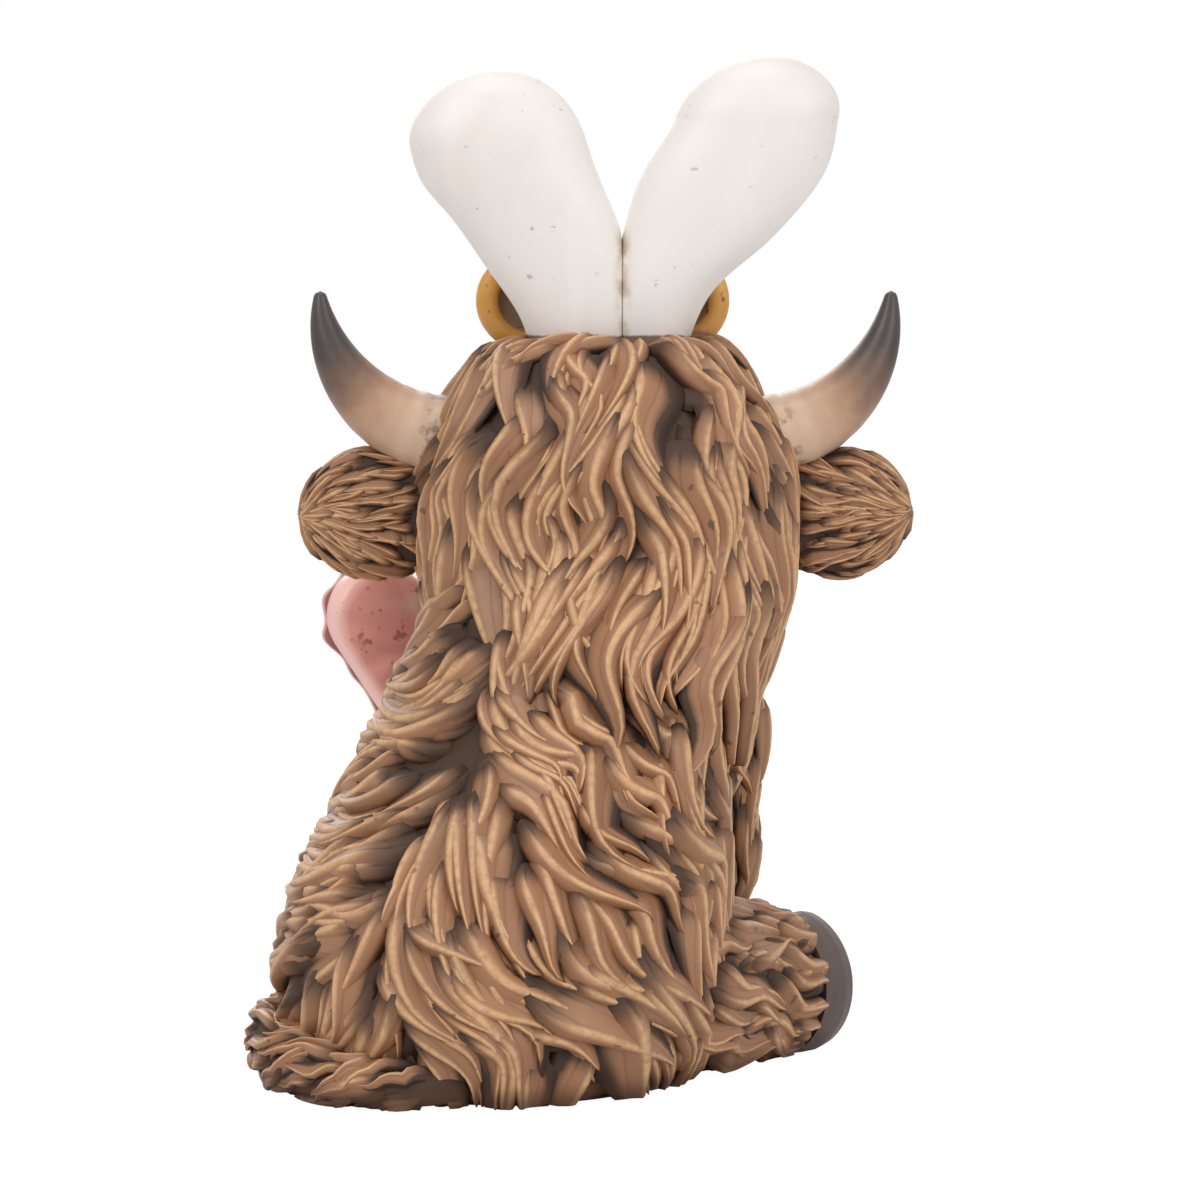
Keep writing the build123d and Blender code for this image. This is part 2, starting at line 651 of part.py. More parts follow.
# Castings before they are fitted to each other
plain_trunk = upright(trunk_sections())
plain_mane = upright(head_sections())
trunk = on_trunk(plain_trunk)
mane = on_head(plain_mane)
hind_legs = [on_trunk(make_hind_leg()), on_trunk(mirrored(make_hind_leg()))]
hind_hooves = [on_trunk(make_hind_hoof()), on_trunk(mirrored(make_hind_hoof()))]
eye_spots = [face_point(side * EYE_ANGLE, EYE_HEIGHT) for side in (1, -1)]

# Where the left hoof holds the heart, and the direction out of the heart's back
hold = Plane(on_heart(Location((-HEART_HOLD_INWARD, 0, HEART_HOLD_HEIGHT))))
hold_point = hold.origin
hold_back = hold.y_dir

# Dowels and their bores
neck_dowel, neck_bore = dowel_and_bore(
    NECK_POINT + UP * NECK_HEIGHT, UP, NECK_DOWEL_RADIUS, NECK_DOWEL_LENGTH
)
horn_joint = dowel_and_bore(Vector(BROW_HALF_WIDTH, 0, HORN_HEIGHT), LEFT)
ear_joint = dowel_and_bore(Vector(MANE_HALF_WIDTH, 0, EAR_HEIGHT), LEFT)
rabbit_joints = [dowel_and_bore(*rabbit_axis(side)) for side in (1, -1)]
heart_dowel, heart_bore = dowel_and_bore(hold_point, hold_back)

# Right foreleg down to the table, left foreleg out to the heart
withers = [from_trunk(side * WITHERS_ACROSS, -WITHERS_AHEAD, WITHERS_HEIGHT) for side in (1, -1)]
shoulders = [from_trunk(side * SHOULDER_ACROSS, -SHOULDER_AHEAD, SHOULDER_HEIGHT) for side in (1, -1)]
elbow = from_trunk(-ELBOW_ACROSS, -ELBOW_AHEAD, ELBOW_HEIGHT)
right_ankle = from_trunk(-FORE_ANKLE_ACROSS, -FORE_ANKLE_AHEAD, FORE_HOOF_LENGTH)
left_ankle = hold_point + hold_back * FORE_HOOF_LENGTH
fore_radii = [WITHERS_RADIUS, SHOULDER_RADIUS, ELBOW_RADIUS, FORE_ANKLE_RADIUS]
right_foreleg = foreleg([withers[1], shoulders[1], elbow, right_ankle], fore_radii, BACK, -UP)
left_bend = between(shoulders[0], left_ankle, LEFT_ELBOW_SHARE) - UP * LEFT_ELBOW_DROP
left_foreleg = foreleg([withers[0], shoulders[0], left_bend, left_ankle], fore_radii, UP, -hold_back)
fore_hoof = make_hoof(FORE_ANKLE_RADIUS, FORE_HOOF_RADIUS, FORE_HOOF_LENGTH)
right_fore_hoof = Pos(right_ankle.X, right_ankle.Y, 0) * Rot(0, 0, -TRUNK_TURN) * fore_hoof
left_fore_hoof = Plane(origin=hold_point, x_dir=hold.x_dir, z_dir=hold_back) * fore_hoof

# Fitted pieces: the smaller casting of each joint is cut to the larger one, and both are bored
parts = {}
for side, flip in (("left", lambda shape: shape), ("right", mirrored)):
    parts[f"{side}_horn"] = on_head(flip(make_horn() - horn_joint[1])) - mane
    parts[f"{side}_ear"] = on_head(flip(make_ear() - ear_joint[1])) - mane - parts[f"{side}_horn"]
for side, spot in zip(("left", "right"), eye_spots):
    parts[f"{side}_eye"] = eye_ball(spot)
rabbit_lengths = (RABBIT_LENGTH, RABBIT_LENGTH + RABBIT_RIGHT_EXTRA)
for name, side, length, joint in zip(("left", "right"), (1, -1), rabbit_lengths, rabbit_joints):
    parts[f"{name}_rabbit_ear"] = on_head(make_rabbit_ear(side, length) - joint[1])

parts["bow"] = on_head(make_bow()) - mane
parts["muzzle"] = on_head(make_muzzle()) - mane
forelock = on_head(make_forelock()) - mane - parts["bow"] - parts["muzzle"]
for spot in eye_spots:
    forelock -= eye_ball(spot, GLUE_GAP)
parts["forelock"] = forelock

parts["heart"] = on_heart(make_heart()) - heart_bore
parts["left_foreleg"] = left_foreleg - trunk - mane
parts["right_foreleg"] = right_foreleg - trunk - mane - right_fore_hoof
for hind in hind_legs + hind_hooves:
    parts["right_foreleg"] -= hind
parts["left_fore_hoof"] = left_fore_hoof - heart_bore
parts["right_fore_hoof"] = right_fore_hoof
for side, leg, hoof in zip(("left", "right"), hind_legs, hind_hooves):
    parts[f"{side}_hind_leg"] = leg - trunk
    parts[f"{side}_hind_hoof"] = hoof
parts["tail"] = make_tail() - trunk - hind_legs[0]

# Coat: the locks are part of the torso and the head, and end where they meet another casting
trunk_rows = rows_between(TRUNK_LOCK_LOW, TRUNK_LOCK_HIGH)
trunk_locks = comb(plain_trunk, trunk_sections(), trunk_rows, TRUNK_LOCK_LENGTH, trunk_sweep)
limbs = [parts[name] for name in parts if name.endswith("leg")]
trunk_relief = Part() + [on_trunk(lock) for lock in trunk_locks] - [mane, parts["tail"], *limbs]
parts["torso"] = trunk + trunk_relief.solids() - neck_bore

mane_rows = rows_between(HEM_HEIGHT + MANE_LOCK_LOW, HEM_HEIGHT + MANE_LOCK_HIGH)
mane_locks = comb(plain_mane, head_sections(), mane_rows, MANE_LOCK_LENGTH, mane_sweep)
beside_head = [parts[name] for name in parts if name.endswith(("horn", "_ear", "leg", "forelock"))]
mane_relief = Part() + [on_head(lock) for lock in mane_locks] - [trunk, *beside_head]
bores = [neck_bore] + [eye_ball(spot, GLUE_GAP) for spot in eye_spots]
for joint in (horn_joint, ear_joint):
    bores.append(on_head(joint[1]))
    bores.append(on_head(mirrored(joint[1])))
for joint in rabbit_joints:
    bores.append(on_head(joint[1]))
parts["head"] = mane + mane_relief.solids() - parts["torso"] - bores

os.makedirs("parts", exist_ok=True)
for name, shape in parts.items():
    export_step(largest(shape), f"parts/{name}.step")

# Dowels, a pair of which shares a node
dowels = {
    "neck_dowel": neck_dowel,
    "heart_dowel": heart_dowel,
    "horn_dowels": Compound([on_head(horn_joint[0]), on_head(mirrored(horn_joint[0]))]),
    "ear_dowels": Compound([on_head(ear_joint[0]), on_head(mirrored(ear_joint[0]))]),
    "rabbit_ear_dowels": Compound([on_head(joint[0]) for joint in rabbit_joints]),
}
for name, shape in dowels.items():
    export_step(shape, f"parts/{name}.step")
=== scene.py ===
import json
import math
import bpy
import numpy as np
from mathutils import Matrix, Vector

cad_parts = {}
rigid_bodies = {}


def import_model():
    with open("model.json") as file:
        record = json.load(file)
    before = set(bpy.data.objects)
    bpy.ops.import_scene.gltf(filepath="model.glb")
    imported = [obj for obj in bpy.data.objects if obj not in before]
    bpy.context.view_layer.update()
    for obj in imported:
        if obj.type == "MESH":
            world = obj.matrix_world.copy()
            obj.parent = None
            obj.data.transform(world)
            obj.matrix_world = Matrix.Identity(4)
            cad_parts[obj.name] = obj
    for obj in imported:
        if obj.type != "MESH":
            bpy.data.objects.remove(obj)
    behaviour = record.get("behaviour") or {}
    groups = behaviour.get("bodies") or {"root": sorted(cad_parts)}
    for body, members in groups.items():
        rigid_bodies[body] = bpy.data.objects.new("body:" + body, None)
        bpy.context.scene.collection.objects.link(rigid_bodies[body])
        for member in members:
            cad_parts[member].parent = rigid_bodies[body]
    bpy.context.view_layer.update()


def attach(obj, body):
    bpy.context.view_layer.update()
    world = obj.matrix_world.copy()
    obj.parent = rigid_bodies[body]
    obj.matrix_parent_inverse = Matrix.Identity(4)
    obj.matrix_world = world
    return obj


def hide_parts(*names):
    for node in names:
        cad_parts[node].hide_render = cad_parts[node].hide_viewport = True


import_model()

mm = 0.001
deg = math.pi / 180


# Number helpers

def through(x, xs, ys):  # smooth curve through points: cubic Hermite with slopes from the neighbours
    x, xs, ys = np.asarray(x, float), np.asarray(xs, float), np.asarray(ys, float)
    slope = np.gradient(ys, xs)
    k = np.clip(np.searchsorted(xs, x) - 1, 0, len(xs) - 2)
    w = xs[k + 1] - xs[k]
    t = np.clip((x - xs[k]) / w, 0, 1)
    return (ys[k] * (1 + 2 * t) * (1 - t) ** 2 + ys[k + 1] * t * t * (3 - 2 * t)
            + w * slope[k] * t * (1 - t) ** 2 - w * slope[k + 1] * t * t * (1 - t))


def ease(x, low, high):  # 0 below low, 1 above high, smooth between
    t = np.clip((np.asarray(x, float) - low) / (high - low), 0, 1)
    return t * t * (3 - 2 * t)


def unit(a):  # vectors of length 1
    return a / np.maximum(np.linalg.norm(a, axis=-1, keepdims=True), 1e-9)


def turnZ(p, angle):  # points turned about the vertical, degrees
    p = np.asarray(p, float)
    c, s = math.cos(angle * deg), math.sin(angle * deg)
    return np.stack([p[..., 0] * c - p[..., 1] * s, p[..., 0] * s + p[..., 1] * c, p[..., 2]], -1)


def ripple(x, y, seed, count=5):  # smooth waves over two numbers that both repeat every 1, about -1 to 1
    r = np.random.default_rng(seed)
    total = 0
    for _ in range(count):
        total = total + np.sin(2 * np.pi * (r.integers(1, 5) * x + r.integers(1, 7) * y + r.random()))
    return total / count ** 0.5 / 1.2


def middles(count):  # the middles of equal shares of 0 to 1
    return (np.arange(count) + 0.5) / count


def turns(count, start=0.0):  # angles at equal steps once round
    return 2 * np.pi * (np.arange(count) + start) / count


# Meshes

def putPiece(node, kind, form):  # one mesh object for a node: points in mm, faces and attributes
    points, faces, attributes = form
    name = node + "_" + kind
    mesh = bpy.data.meshes.new(name)
    mesh.from_pydata((points * mm).tolist(), [], faces)
    mesh.polygons.foreach_set("use_smooth", np.ones(len(mesh.polygons), bool))
    for key, values in attributes.items():
        layer = mesh.attributes.new(key, "FLOAT", "POINT")
        layer.data.foreach_set("value", np.asarray(values, np.float32).ravel())
    mesh.update()
    piece = bpy.data.objects.new(name, mesh)
    bpy.context.scene.collection.objects.link(piece)
    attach(piece, "root")
    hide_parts(node)
    print("piece", name, len(mesh.polygons), "faces")
    return piece


def closedGrid(grid, values=None):  # rows of points, each a ring; the first and last close to a point
    rows, cols = grid.shape[:2]
    points = np.vstack([grid[0].mean(0)[None], grid[1:-1].reshape(-1, 3), grid[-1].mean(0)[None]])
    ids = 1 + np.arange((rows - 2) * cols).reshape(rows - 2, cols)
    nxt = np.roll(ids, -1, 1)
    quads = np.stack([ids[:-1], ids[1:], nxt[1:], nxt[:-1]], -1).reshape(-1, 4)
    last = len(points) - 1
    top = np.stack([np.zeros(cols, int), ids[0], nxt[0]], -1)
    low = np.stack([np.full(cols, last), nxt[-1], ids[-1]], -1)
    faces = quads.tolist() + top.tolist() + low.tolist()
    packed = {}
    for key, v in (values or {}).items():
        v = np.broadcast_to(v, (rows, cols))
        packed[key] = np.concatenate([[v[0].mean()], v[1:-1].ravel(), [v[-1].mean()]])
    return points, faces, packed


def joined(parts):  # several closed grids as one mesh
    points, faces, packed, start = [], [], {}, 0
    for p, f, a in parts:
        points.append(p)
        faces += [[i + start for i in face] for face in f]
        start += len(p)
        for key, v in a.items():
            packed.setdefault(key, []).append(v)
    return np.vstack(points), faces, {key: np.concatenate(v) for key, v in packed.items()}


def outward(grid):  # unit normals of a grid of rings, from its two neighbour differences
    du = np.gradient(grid, axis=0)
    dv = (np.roll(grid, -1, 1) - np.roll(grid, 1, 1)) / 2
    return unit(np.cross(du, dv))


def tube(path, wide, deep, thin, cols):
    # ellipses square to a path, wide across it and deep along the thin direction
    tangent = unit(np.gradient(path, axis=0))
    across = unit(np.cross(thin, tangent))
    along = np.cross(across, tangent)
    phi = turns(cols, 0.5)
    ring = across[:, None] * np.cos(phi)[None, :, None] * np.reshape(wide, (-1, 1, 1))
    return path[:, None] + ring + along[:, None] * np.sin(phi)[None, :, None] * np.reshape(deep, (-1, 1, 1))


def roundEnds(s, first, last):  # share of the full width along a path: a quarter circle at each end
    a = np.clip(s / max(first, 1e-6), 0, 1)
    b = np.clip((1 - s) / max(last, 1e-6), 0, 1)
    return np.sqrt(np.maximum(1 - (1 - a) ** 2, 0)) * np.sqrt(np.maximum(1 - (1 - b) ** 2, 0))


def facing(path, size, halfWidth, halfHeight, cols):  # upright ellipses facing the front, along a path
    phi = turns(cols)
    ring = np.stack([np.cos(phi) * halfWidth, 0 * phi, np.sin(phi) * halfHeight], -1)
    return path[:, None] + ring[None] * size[:, None, None]


# The coat: overlapping locks combed over a surface

lockVary = {  # how much a lock differs from its neighbours, as shares of its measures
    "along": 0.2, "level": 0.22, "size": 0.13, "length": 0.14, "width": 0.16, "thick": 0.14, "bed": 0.25,
    "wave": (0.75, 1.2),
}
groundWashShade = 0.85  # how much dark wash and painted shade the ground between the locks holds


def spread(place, grid, row, gap, levels, seed):
    # roots in staggered rows between two levels; place is each grid row's height, or its length along a limb
    r = np.random.default_rng(seed)
    rows, cols = grid.shape[:2]
    ring = np.linalg.norm(np.roll(grid, -1, 1) - grid, axis=-1)
    perRow = np.abs(np.gradient(place)).mean()
    roots = []
    low, high = levels
    for n, level in enumerate(np.arange(high, low, -row)):
        i = int(np.argmin(np.abs(place - level)))
        walk = np.concatenate([[0], np.cumsum(ring[i])])
        count = max(3, int(walk[-1] / gap))
        at = (np.arange(count) + 0.5 * (n % 2) + r.normal(0, lockVary["along"], count)) / count * walk[-1]
        v = np.interp(at % walk[-1], walk, np.linspace(0, 1, cols + 1))
        u = (i + 0.5 + r.normal(0, row * lockVary["level"], count) / perRow) / rows
        roots.append(np.stack([u, v], -1))
    return np.concatenate(roots)


def scattered(r, s, heights):  # roots at random between two levels and round about a middle
    u = np.interp(-r.uniform(*s["levels"], s["count"]), -heights, middles(len(heights)))
    return np.stack([u, (s["middle"] + r.uniform(*s["span"], s["count"])) % 1], -1)


def sampled(values, u, v):  # a grid's values between its points, going round the seam in v
    rows, cols = values.shape[:2]
    a = np.clip(u * rows - 0.5, 0, rows - 1.001)
    b = v * cols - 0.5
    i, j = np.floor(a).astype(int), np.floor(b).astype(int)
    a, b, j, k = (a - i)[..., None], (b - j)[..., None], j % cols, (j + 1) % cols
    near = values[i, j] * (1 - a) + values[i + 1, j] * a
    return near * (1 - b) + (values[i, k] * (1 - a) + values[i + 1, k] * a) * b


lockForm = {  # a lock's section, then how its blade rounds off, narrows and takes painted shade along its length
    "across": np.array([-1, -0.55, -0.1, 0.26, 0.54, 0.74, 0.91, 1.0, 0.0]),
    "under": np.array([0, 0, 0, 0, 0, 0, 0, 0.3, 0.3]),
    "crest": 0.56, "hollow": 1.5, "drop": 2.2, "crestBand": (0.72, 1.0),
    "rootRound": 0.22, "tipRound": 0.015, "narrow": 0.96, "narrowFrom": 0.3, "even": 0.25,
    "rootShade": 0.75, "shadeBand": (0.1, 0.4), "bendMix": 0.4,
}


def layLocks(grid, roots, flow, look, seed):
    # Each lock is a closed blade carried along a path that starts at a root and follows the flow with a
    # wave. Across it a hollow flank rises slowly to a crest near one edge and drops steeply there. Along it
    # the blade comes out from under the row above, swells, and narrows to a point on the row below. The
    # wave goes by place, so that neighbours run together.
    f = lockForm
    r = np.random.default_rng(seed)
    rows, cols = grid.shape[:2]
    n, steps = len(roots), look["steps"]
    stepU = np.linalg.norm(np.gradient(grid, axis=0), axis=-1)[..., None] * rows + 1e-6  # mm for all of u
    stepV = np.linalg.norm((np.roll(grid, -1, 1) - np.roll(grid, 1, 1)) / 2, axis=-1)[..., None] * cols
    stepV = np.maximum(stepV, look["width"])
    u, v = roots[:, 0].copy(), roots[:, 1].copy()
    size = look["size"](u, v) * np.exp(r.normal(0, lockVary["size"], n))
    length = look["length"] * size * np.exp(r.normal(0, lockVary["length"], n))
    wide = look["width"] / 2 * size ** 0.7 * np.exp(r.normal(0, lockVary["width"], n))
    thick = look["height"] * size ** 0.5 * np.exp(r.normal(0, lockVary["thick"], n))
    stray = r.normal(0, look["stray"] * deg, n)
    phase = look["mixed"] * r.normal(0, 1, n)
    wave = look["wave"] * deg * r.uniform(*lockVary["wave"], n)
    side = np.where(r.random(n) < look["crestRight"](u, v), 1.0, -1.0)[:, None]
    tint, bed = r.random(n), r.uniform(-lockVary["bed"], lockVary["bed"], n) * look["height"]
    ahead = length / (steps - 1)
    path = []
    for _ in range(steps):
        path.append((u, v))
        bend = look["waves"] * u + f["bendMix"] * ripple(u * 0.5, v, 7) + phase
        heading = flow(u, v % 1) + stray + wave * np.sin(2 * np.pi * bend)
        u, v = (u + np.cos(heading) * ahead / sampled(stepU, u, v)[:, 0],
                v + np.sin(heading) * ahead / sampled(stepV, u, v)[:, 0])
    u, v = [np.stack(p, 1) for p in zip(*path)]
    s = np.linspace(0, 1, steps)
    out = unit(sampled(outward(grid), u, v))
    lift = bed[:, None] + look["height"] * np.interp(s, [0, 0.25, 0.75, 1], look["lift"])
    place = sampled(grid, u, v) + out * lift[..., None]
    across = unit(np.cross(out, unit(np.gradient(place, axis=1))))
    taper = np.clip((s - f["narrowFrom"]) / (1 - f["narrowFrom"]), 0, 1) ** look["point"]
    swell = roundEnds(s, f["rootRound"], f["tipRound"]) * (1 - f["narrow"] * taper)
    x, c = f["across"], f["crest"]
    flank = np.clip((x + 1) / (1 + c), 0, 1) ** f["hollow"]
    edge = 1 - np.clip((x - c) / (1 - c), 0, 1) ** f["drop"]
    h = np.where(f["under"] > 0, -f["under"], np.where(x < c, flank, edge))
    x, h = np.where(side > 0, x, -x[::-1]), np.where(side > 0, h, h[::-1])
    broad = (wide[:, None] * swell)[..., None] * x[:, None]
    rise = f["even"] * roundEnds(s, 0.2, 0.02) + (1 - f["even"]) * swell
    high = (thick[:, None] * rise)[..., None] * h[:, None]
    blades = place[:, :, None] + across[:, :, None] * broad[..., None] + out[:, :, None] * high[..., None]
    # painted shade with the dark wash: the cavity value darkens each blade where it is low, at its thin edge
    # and underside under a neighbour, and at its root under the row above
    root = (f["rootShade"] * (1 - ease(s, *f["shadeBand"])))[None, :, None]
    cavity = np.clip((1 - ease(h, 0.0, look["groove"]))[:, None] + root, 0, 1)
    crest = ease(h, *f["crestBand"])[:, None] * (1 - root)
    parts = [closedGrid(blades[k], {"cavity": cavity[k], "crest": crest[k], "tint": tint[k],
                                    "strand": x[k][None] + 0.6 * s[:, None]}) for k in range(n)]
    print("locks", n)
    return joined(parts)


def furred(node, grid, guide, roots, flow, look, seed, place=lambda p: p, bare=0.0, lowest=None):
    # a ground painted dark with wash and shade, with locks laid over its guide surface, as one piece
    ground = closedGrid(grid, {"cavity": groundWashShade * (1 - bare), "crest": 0.0, "tint": 0.5, "strand": 0.0})
    points, faces, packed = joined([ground, layLocks(guide, roots, flow, look, seed)])
    points = place(points)
    if lowest is not None:
        points[:, 2] = np.maximum(points[:, 2], lowest)
    coatLook.on(putPiece(node, "coat", (points, faces, packed)))


# Finishes

class Wire:  # one socket; an expression on wires adds Math nodes
    def __init__(self, paint, socket):
        self.paint, self.socket = paint, socket

    def math(self, operation, *others, clamp=False):
        return self.paint.add("ShaderNodeMath", {"operation": operation, "use_clamp": clamp},
                              dict(enumerate((self,) + others)))

    def __add__(self, other):
        return self.math("ADD", other)

    def __sub__(self, other):
        return self.math("SUBTRACT", other)

    def __mul__(self, other):
        return self.math("MULTIPLY", other)

    __radd__, __rmul__ = __add__, __mul__

    def __rsub__(self, other):
        return self.paint.add("ShaderNodeMath", {"operation": "SUBTRACT"}, {0: other, 1: self})

    def clip(self):  # held between 0 and 1
        return self.math("ADD", 0.0, clamp=True)

    def band(self, low, high):  # smooth step from 0 to 1 between low and high
        settings = {"interpolation_type": "SMOOTHSTEP", "clamp": True}
        return self.paint.add("ShaderNodeMapRange", settings,
                              {"Value": self, "From Min": low, "From Max": high})


class Paint:  # one material
    inputs = {"colour": "Base Color", "rough": "Roughness", "normal": "Normal", "metal": "Metallic"}

    def __init__(self, name, rough, coat=0.0):
        self.material = bpy.data.materials.new(name)
        self.material.use_nodes = True
        self.tree = self.material.node_tree
        self.shader = self.tree.nodes["Principled BSDF"]
        self.shader.inputs["Roughness"].default_value = rough
        self.shader.inputs["Coat Weight"].default_value = coat
        self.shader.inputs["Coat Roughness"].default_value = 0.25
        self.place = self.add("ShaderNodeTexCoord", {}, {}, "Object")

    def add(self, kind, settings, sockets, out=0):  # any node: its settings, what goes into it, its output
        node = self.tree.nodes.new(kind)
        for key, value in settings.items():
            setattr(node, key, value)
        for key, value in sockets.items():
            if isinstance(value, Wire):
                self.tree.links.new(value.socket, node.inputs[key])
            else:
                node.inputs[key].default_value = value
        return Wire(self, node.outputs[out])

    def give(self, **sockets):  # what goes into the shader
        for key, value in sockets.items():
            if isinstance(value, Wire):
                self.tree.links.new(value.socket, self.shader.inputs[self.inputs[key]])
            else:
                self.shader.inputs[self.inputs[key]].default_value = value
        return self

    def noise(self, scale, detail=4.0, rough=0.55, stretch=None):
        where = self.place
        if stretch:
            where = self.add("ShaderNodeVectorMath", {"operation": "MULTIPLY"}, {0: where, 1: stretch})
        sockets = {"Vector": where, "Scale": scale, "Detail": detail, "Roughness": rough}
        return self.add("ShaderNodeTexNoise", {}, sockets)

    def value(self, name):  # a mesh attribute
        return self.add("ShaderNodeAttribute", {"attribute_name": name}, {}, "Fac")

    def height(self):  # height above the table, metres
        return self.add("ShaderNodeSeparateXYZ", {}, {0: self.place}, "Z")

    def mix(self, a, b, share):  # a share of b over a
        settings = {"data_type": "RGBA", "clamp_factor": True}
        return self.add("ShaderNodeMix", settings, {0: share, 6: a, 7: b}, 2)

    def over(self, colour, share):  # one more colour laid over the paint
        self.colour = self.mix(self.colour, colour, share)

    def bump(self, height, strength, distance):
        sockets = {"Height": height, "Strength": strength, "Distance": distance}
        return self.add("ShaderNodeBump", {}, sockets)

    def on(self, piece):  # this paint alone on a piece
        piece.data.materials.clear()
        piece.data.materials.append(self.material)


def srgb(r, g, b):  # a colour given as 0-255 display values, as a linear one
    c = np.array([r, g, b]) / 255
    c = np.where(c <= 0.04045, c / 12.92, ((c + 0.055) / 1.055) ** 2.4)
    return (*c.tolist(), 1)


coatPaint = {
    # wash: the dark brown of the wash specks, also laid as painted shade in the grooves
    "warm": srgb(172, 123, 87), "cool": srgb(140, 98, 68), "wash": srgb(46, 28, 16),
    "dry": srgb(234, 188, 138), "edge": srgb(92, 60, 38),
}


def coatFinish():  # brown paint, dark wash and painted shade in the grooves and at the lock roots, light colour dragged over the crests
    p, s = Paint("coat", 0.42), coatPaint
    cavity, crest, tint, strand = p.value("cavity"), p.value("crest"), p.value("tint"), p.value("strand")
    blotch, grain = p.noise(90, 5), p.noise(800, 4, 0.65)
    lines = p.add("ShaderNodeMath", {"operation": "SINE"}, {0: strand * 11 + tint * 40 + blotch * 5})
    p.colour = p.mix(s["cool"], s["warm"], (tint * 0.5 + blotch * 0.9 - 0.2).clip())
    # painted shade with dark wash: the low, tucked and root parts of the locks and the strand lines darken
    washShade = (cavity.band(0.05, 0.85) * (0.8 + 0.5 * blotch) + lines.band(0.75, 1.0) * 0.22).clip()
    p.over(s["wash"], washShade * 0.93)
    drag = (crest.band(0.35, 0.95) * (0.5 + 0.5 * grain.band(0.3, 0.6)) * (0.55 + 0.7 * blotch)).clip()
    p.over(s["dry"], drag * 0.8)
    p.over(s["wash"], p.noise(420, 2, 0.5).band(0.69, 0.75) * 0.6)
    foot = 1 - p.height().band(0.001, 0.004)
    p.over(s["edge"], foot * 0.7)
    return p.give(colour=p.colour, rough=(0.33 + 0.2 * grain + 0.3 * washShade).clip(),
                  normal=p.bump(lines * -0.25 + grain * 0.5 + p.noise(230, 3) * 0.6, 0.3, 0.0004))


def rabbitFinish():  # white enamel with brush marks, tan stains, pits and glue left in the seam
    p = Paint("rabbit_white", 0.42, 0.05)
    stain, pits = p.noise(38, 4), p.noise(650, 2, 0.5)
    marks = p.noise(120, 3, 0.6, (1, 1, 0.16))
    p.colour = p.mix(srgb(236, 229, 224), srgb(220, 203, 189), stain.band(0.55, 0.8) * 0.55)
    p.over(srgb(247, 242, 239), marks.band(0.5, 0.7) * 0.35)
    p.over(srgb(233, 188, 182), p.value("inner").clip() * 0.85)
    glue = (p.value("seam") * p.noise(160, 4, 0.6).band(0.35, 0.6)).clip()
    p.over(srgb(172, 148, 104), glue * 0.85)
    foot = (p.value("foot") + p.noise(300, 3) * 0.5 - 0.25).band(0.45, 0.62)
    p.over(srgb(104, 72, 48), foot * 0.9)
    p.over(srgb(146, 112, 82), pits.band(0.72, 0.77) * 0.5)
    return p.give(colour=p.colour, rough=(0.38 + 0.16 * marks + 0.2 * glue).clip(),
                  normal=p.bump(marks * 0.5 - pits.band(0.68, 0.76) * 0.8, 0.25, 0.0004))


def hornFinish():  # cream at the root, through brown to charcoal at the tip
    p = Paint("horn", 0.36)
    along, grain = p.value("along"), p.noise(260, 4, 0.6)
    s = along + (grain - 0.5) * 0.16
    p.colour = p.mix(srgb(212, 182, 156), srgb(180, 140, 110), s.band(0.15, 0.5))
    p.over(srgb(112, 86, 70), s.band(0.4, 0.62))
    p.over(srgb(62, 53, 49), s.band(0.56, 0.78))
    p.over(srgb(96, 66, 44), (1 - along.band(0.16, 0.24)) * grain.band(0.5, 0.62) * 0.7)
    return p.give(colour=p.colour, rough=(0.3 + 0.2 * grain).clip(), normal=p.bump(grain, 0.25, 0.0003))


def plainFinish(name, base, dark, rough, coat=0.0):  # one paint, mottled
    p = Paint(name, rough, coat)
    blotch = p.noise(130, 4, 0.6)
    p.colour = p.mix(base, dark, blotch.band(0.45, 0.75) * 0.5)
    return p.give(colour=p.colour, rough=(rough - 0.06 + 0.14 * blotch).clip(),
                  normal=p.bump(p.noise(500, 3), 0.2, 0.0003))


def heartFinish():  # pink, a darker pitted back, a pale edge line, and rust-red wash with painted shade in the groove
    p = Paint("heart_pink", 0.4, 0.15)
    back, groove, line = p.value("back"), p.value("groove"), p.value("line")
    blotch, pits = p.noise(140, 4, 0.6), p.noise(420, 3, 0.6)
    p.colour = p.mix(srgb(252, 194, 186), srgb(242, 172, 164), blotch)
    p.over(srgb(246, 168, 158), back * (0.6 + 0.4 * blotch))
    p.over(srgb(246, 214, 208), back * p.noise(60, 2).band(0.58, 0.72) * 0.7)
    p.over(srgb(250, 208, 198), line * 0.8)
    p.over(srgb(140, 72, 58), (back * pits.band(0.6, 0.7) * 0.65).clip())
    # painted shade with rust-red wash, dark in the groove
    p.over(srgb(112, 48, 40), (groove * (0.7 + 0.6 * blotch)).clip())
    return p.give(colour=p.colour, normal=p.bump(pits * 0.7, 0.3, 0.0004))


def bowFinish():  # golden yellow, with brown painted shade where the loops pinch into the knot and grey painted shade in the hollow
    p = Paint("bow_yellow", 0.36, 0.2)
    blotch, specks = p.noise(120, 4, 0.6), p.noise(460, 2, 0.5)
    p.colour = p.mix(srgb(226, 170, 78), srgb(204, 140, 58), blotch)
    # painted shade: brown, strongest at the bow's middle by the knot
    p.over(srgb(120, 76, 34), (p.value("knotShade") * (0.6 + 0.6 * blotch)).clip() * 0.9)
    # painted shade: the hollow inside each loop is bare resin, painted a shaded grey
    p.over(srgb(122, 108, 96), p.value("hollow") * 0.9)
    p.over(srgb(98, 60, 28), specks.band(0.66, 0.71) * 0.8)
    return p.give(colour=p.colour, normal=p.bump(blotch, 0.2, 0.0004))


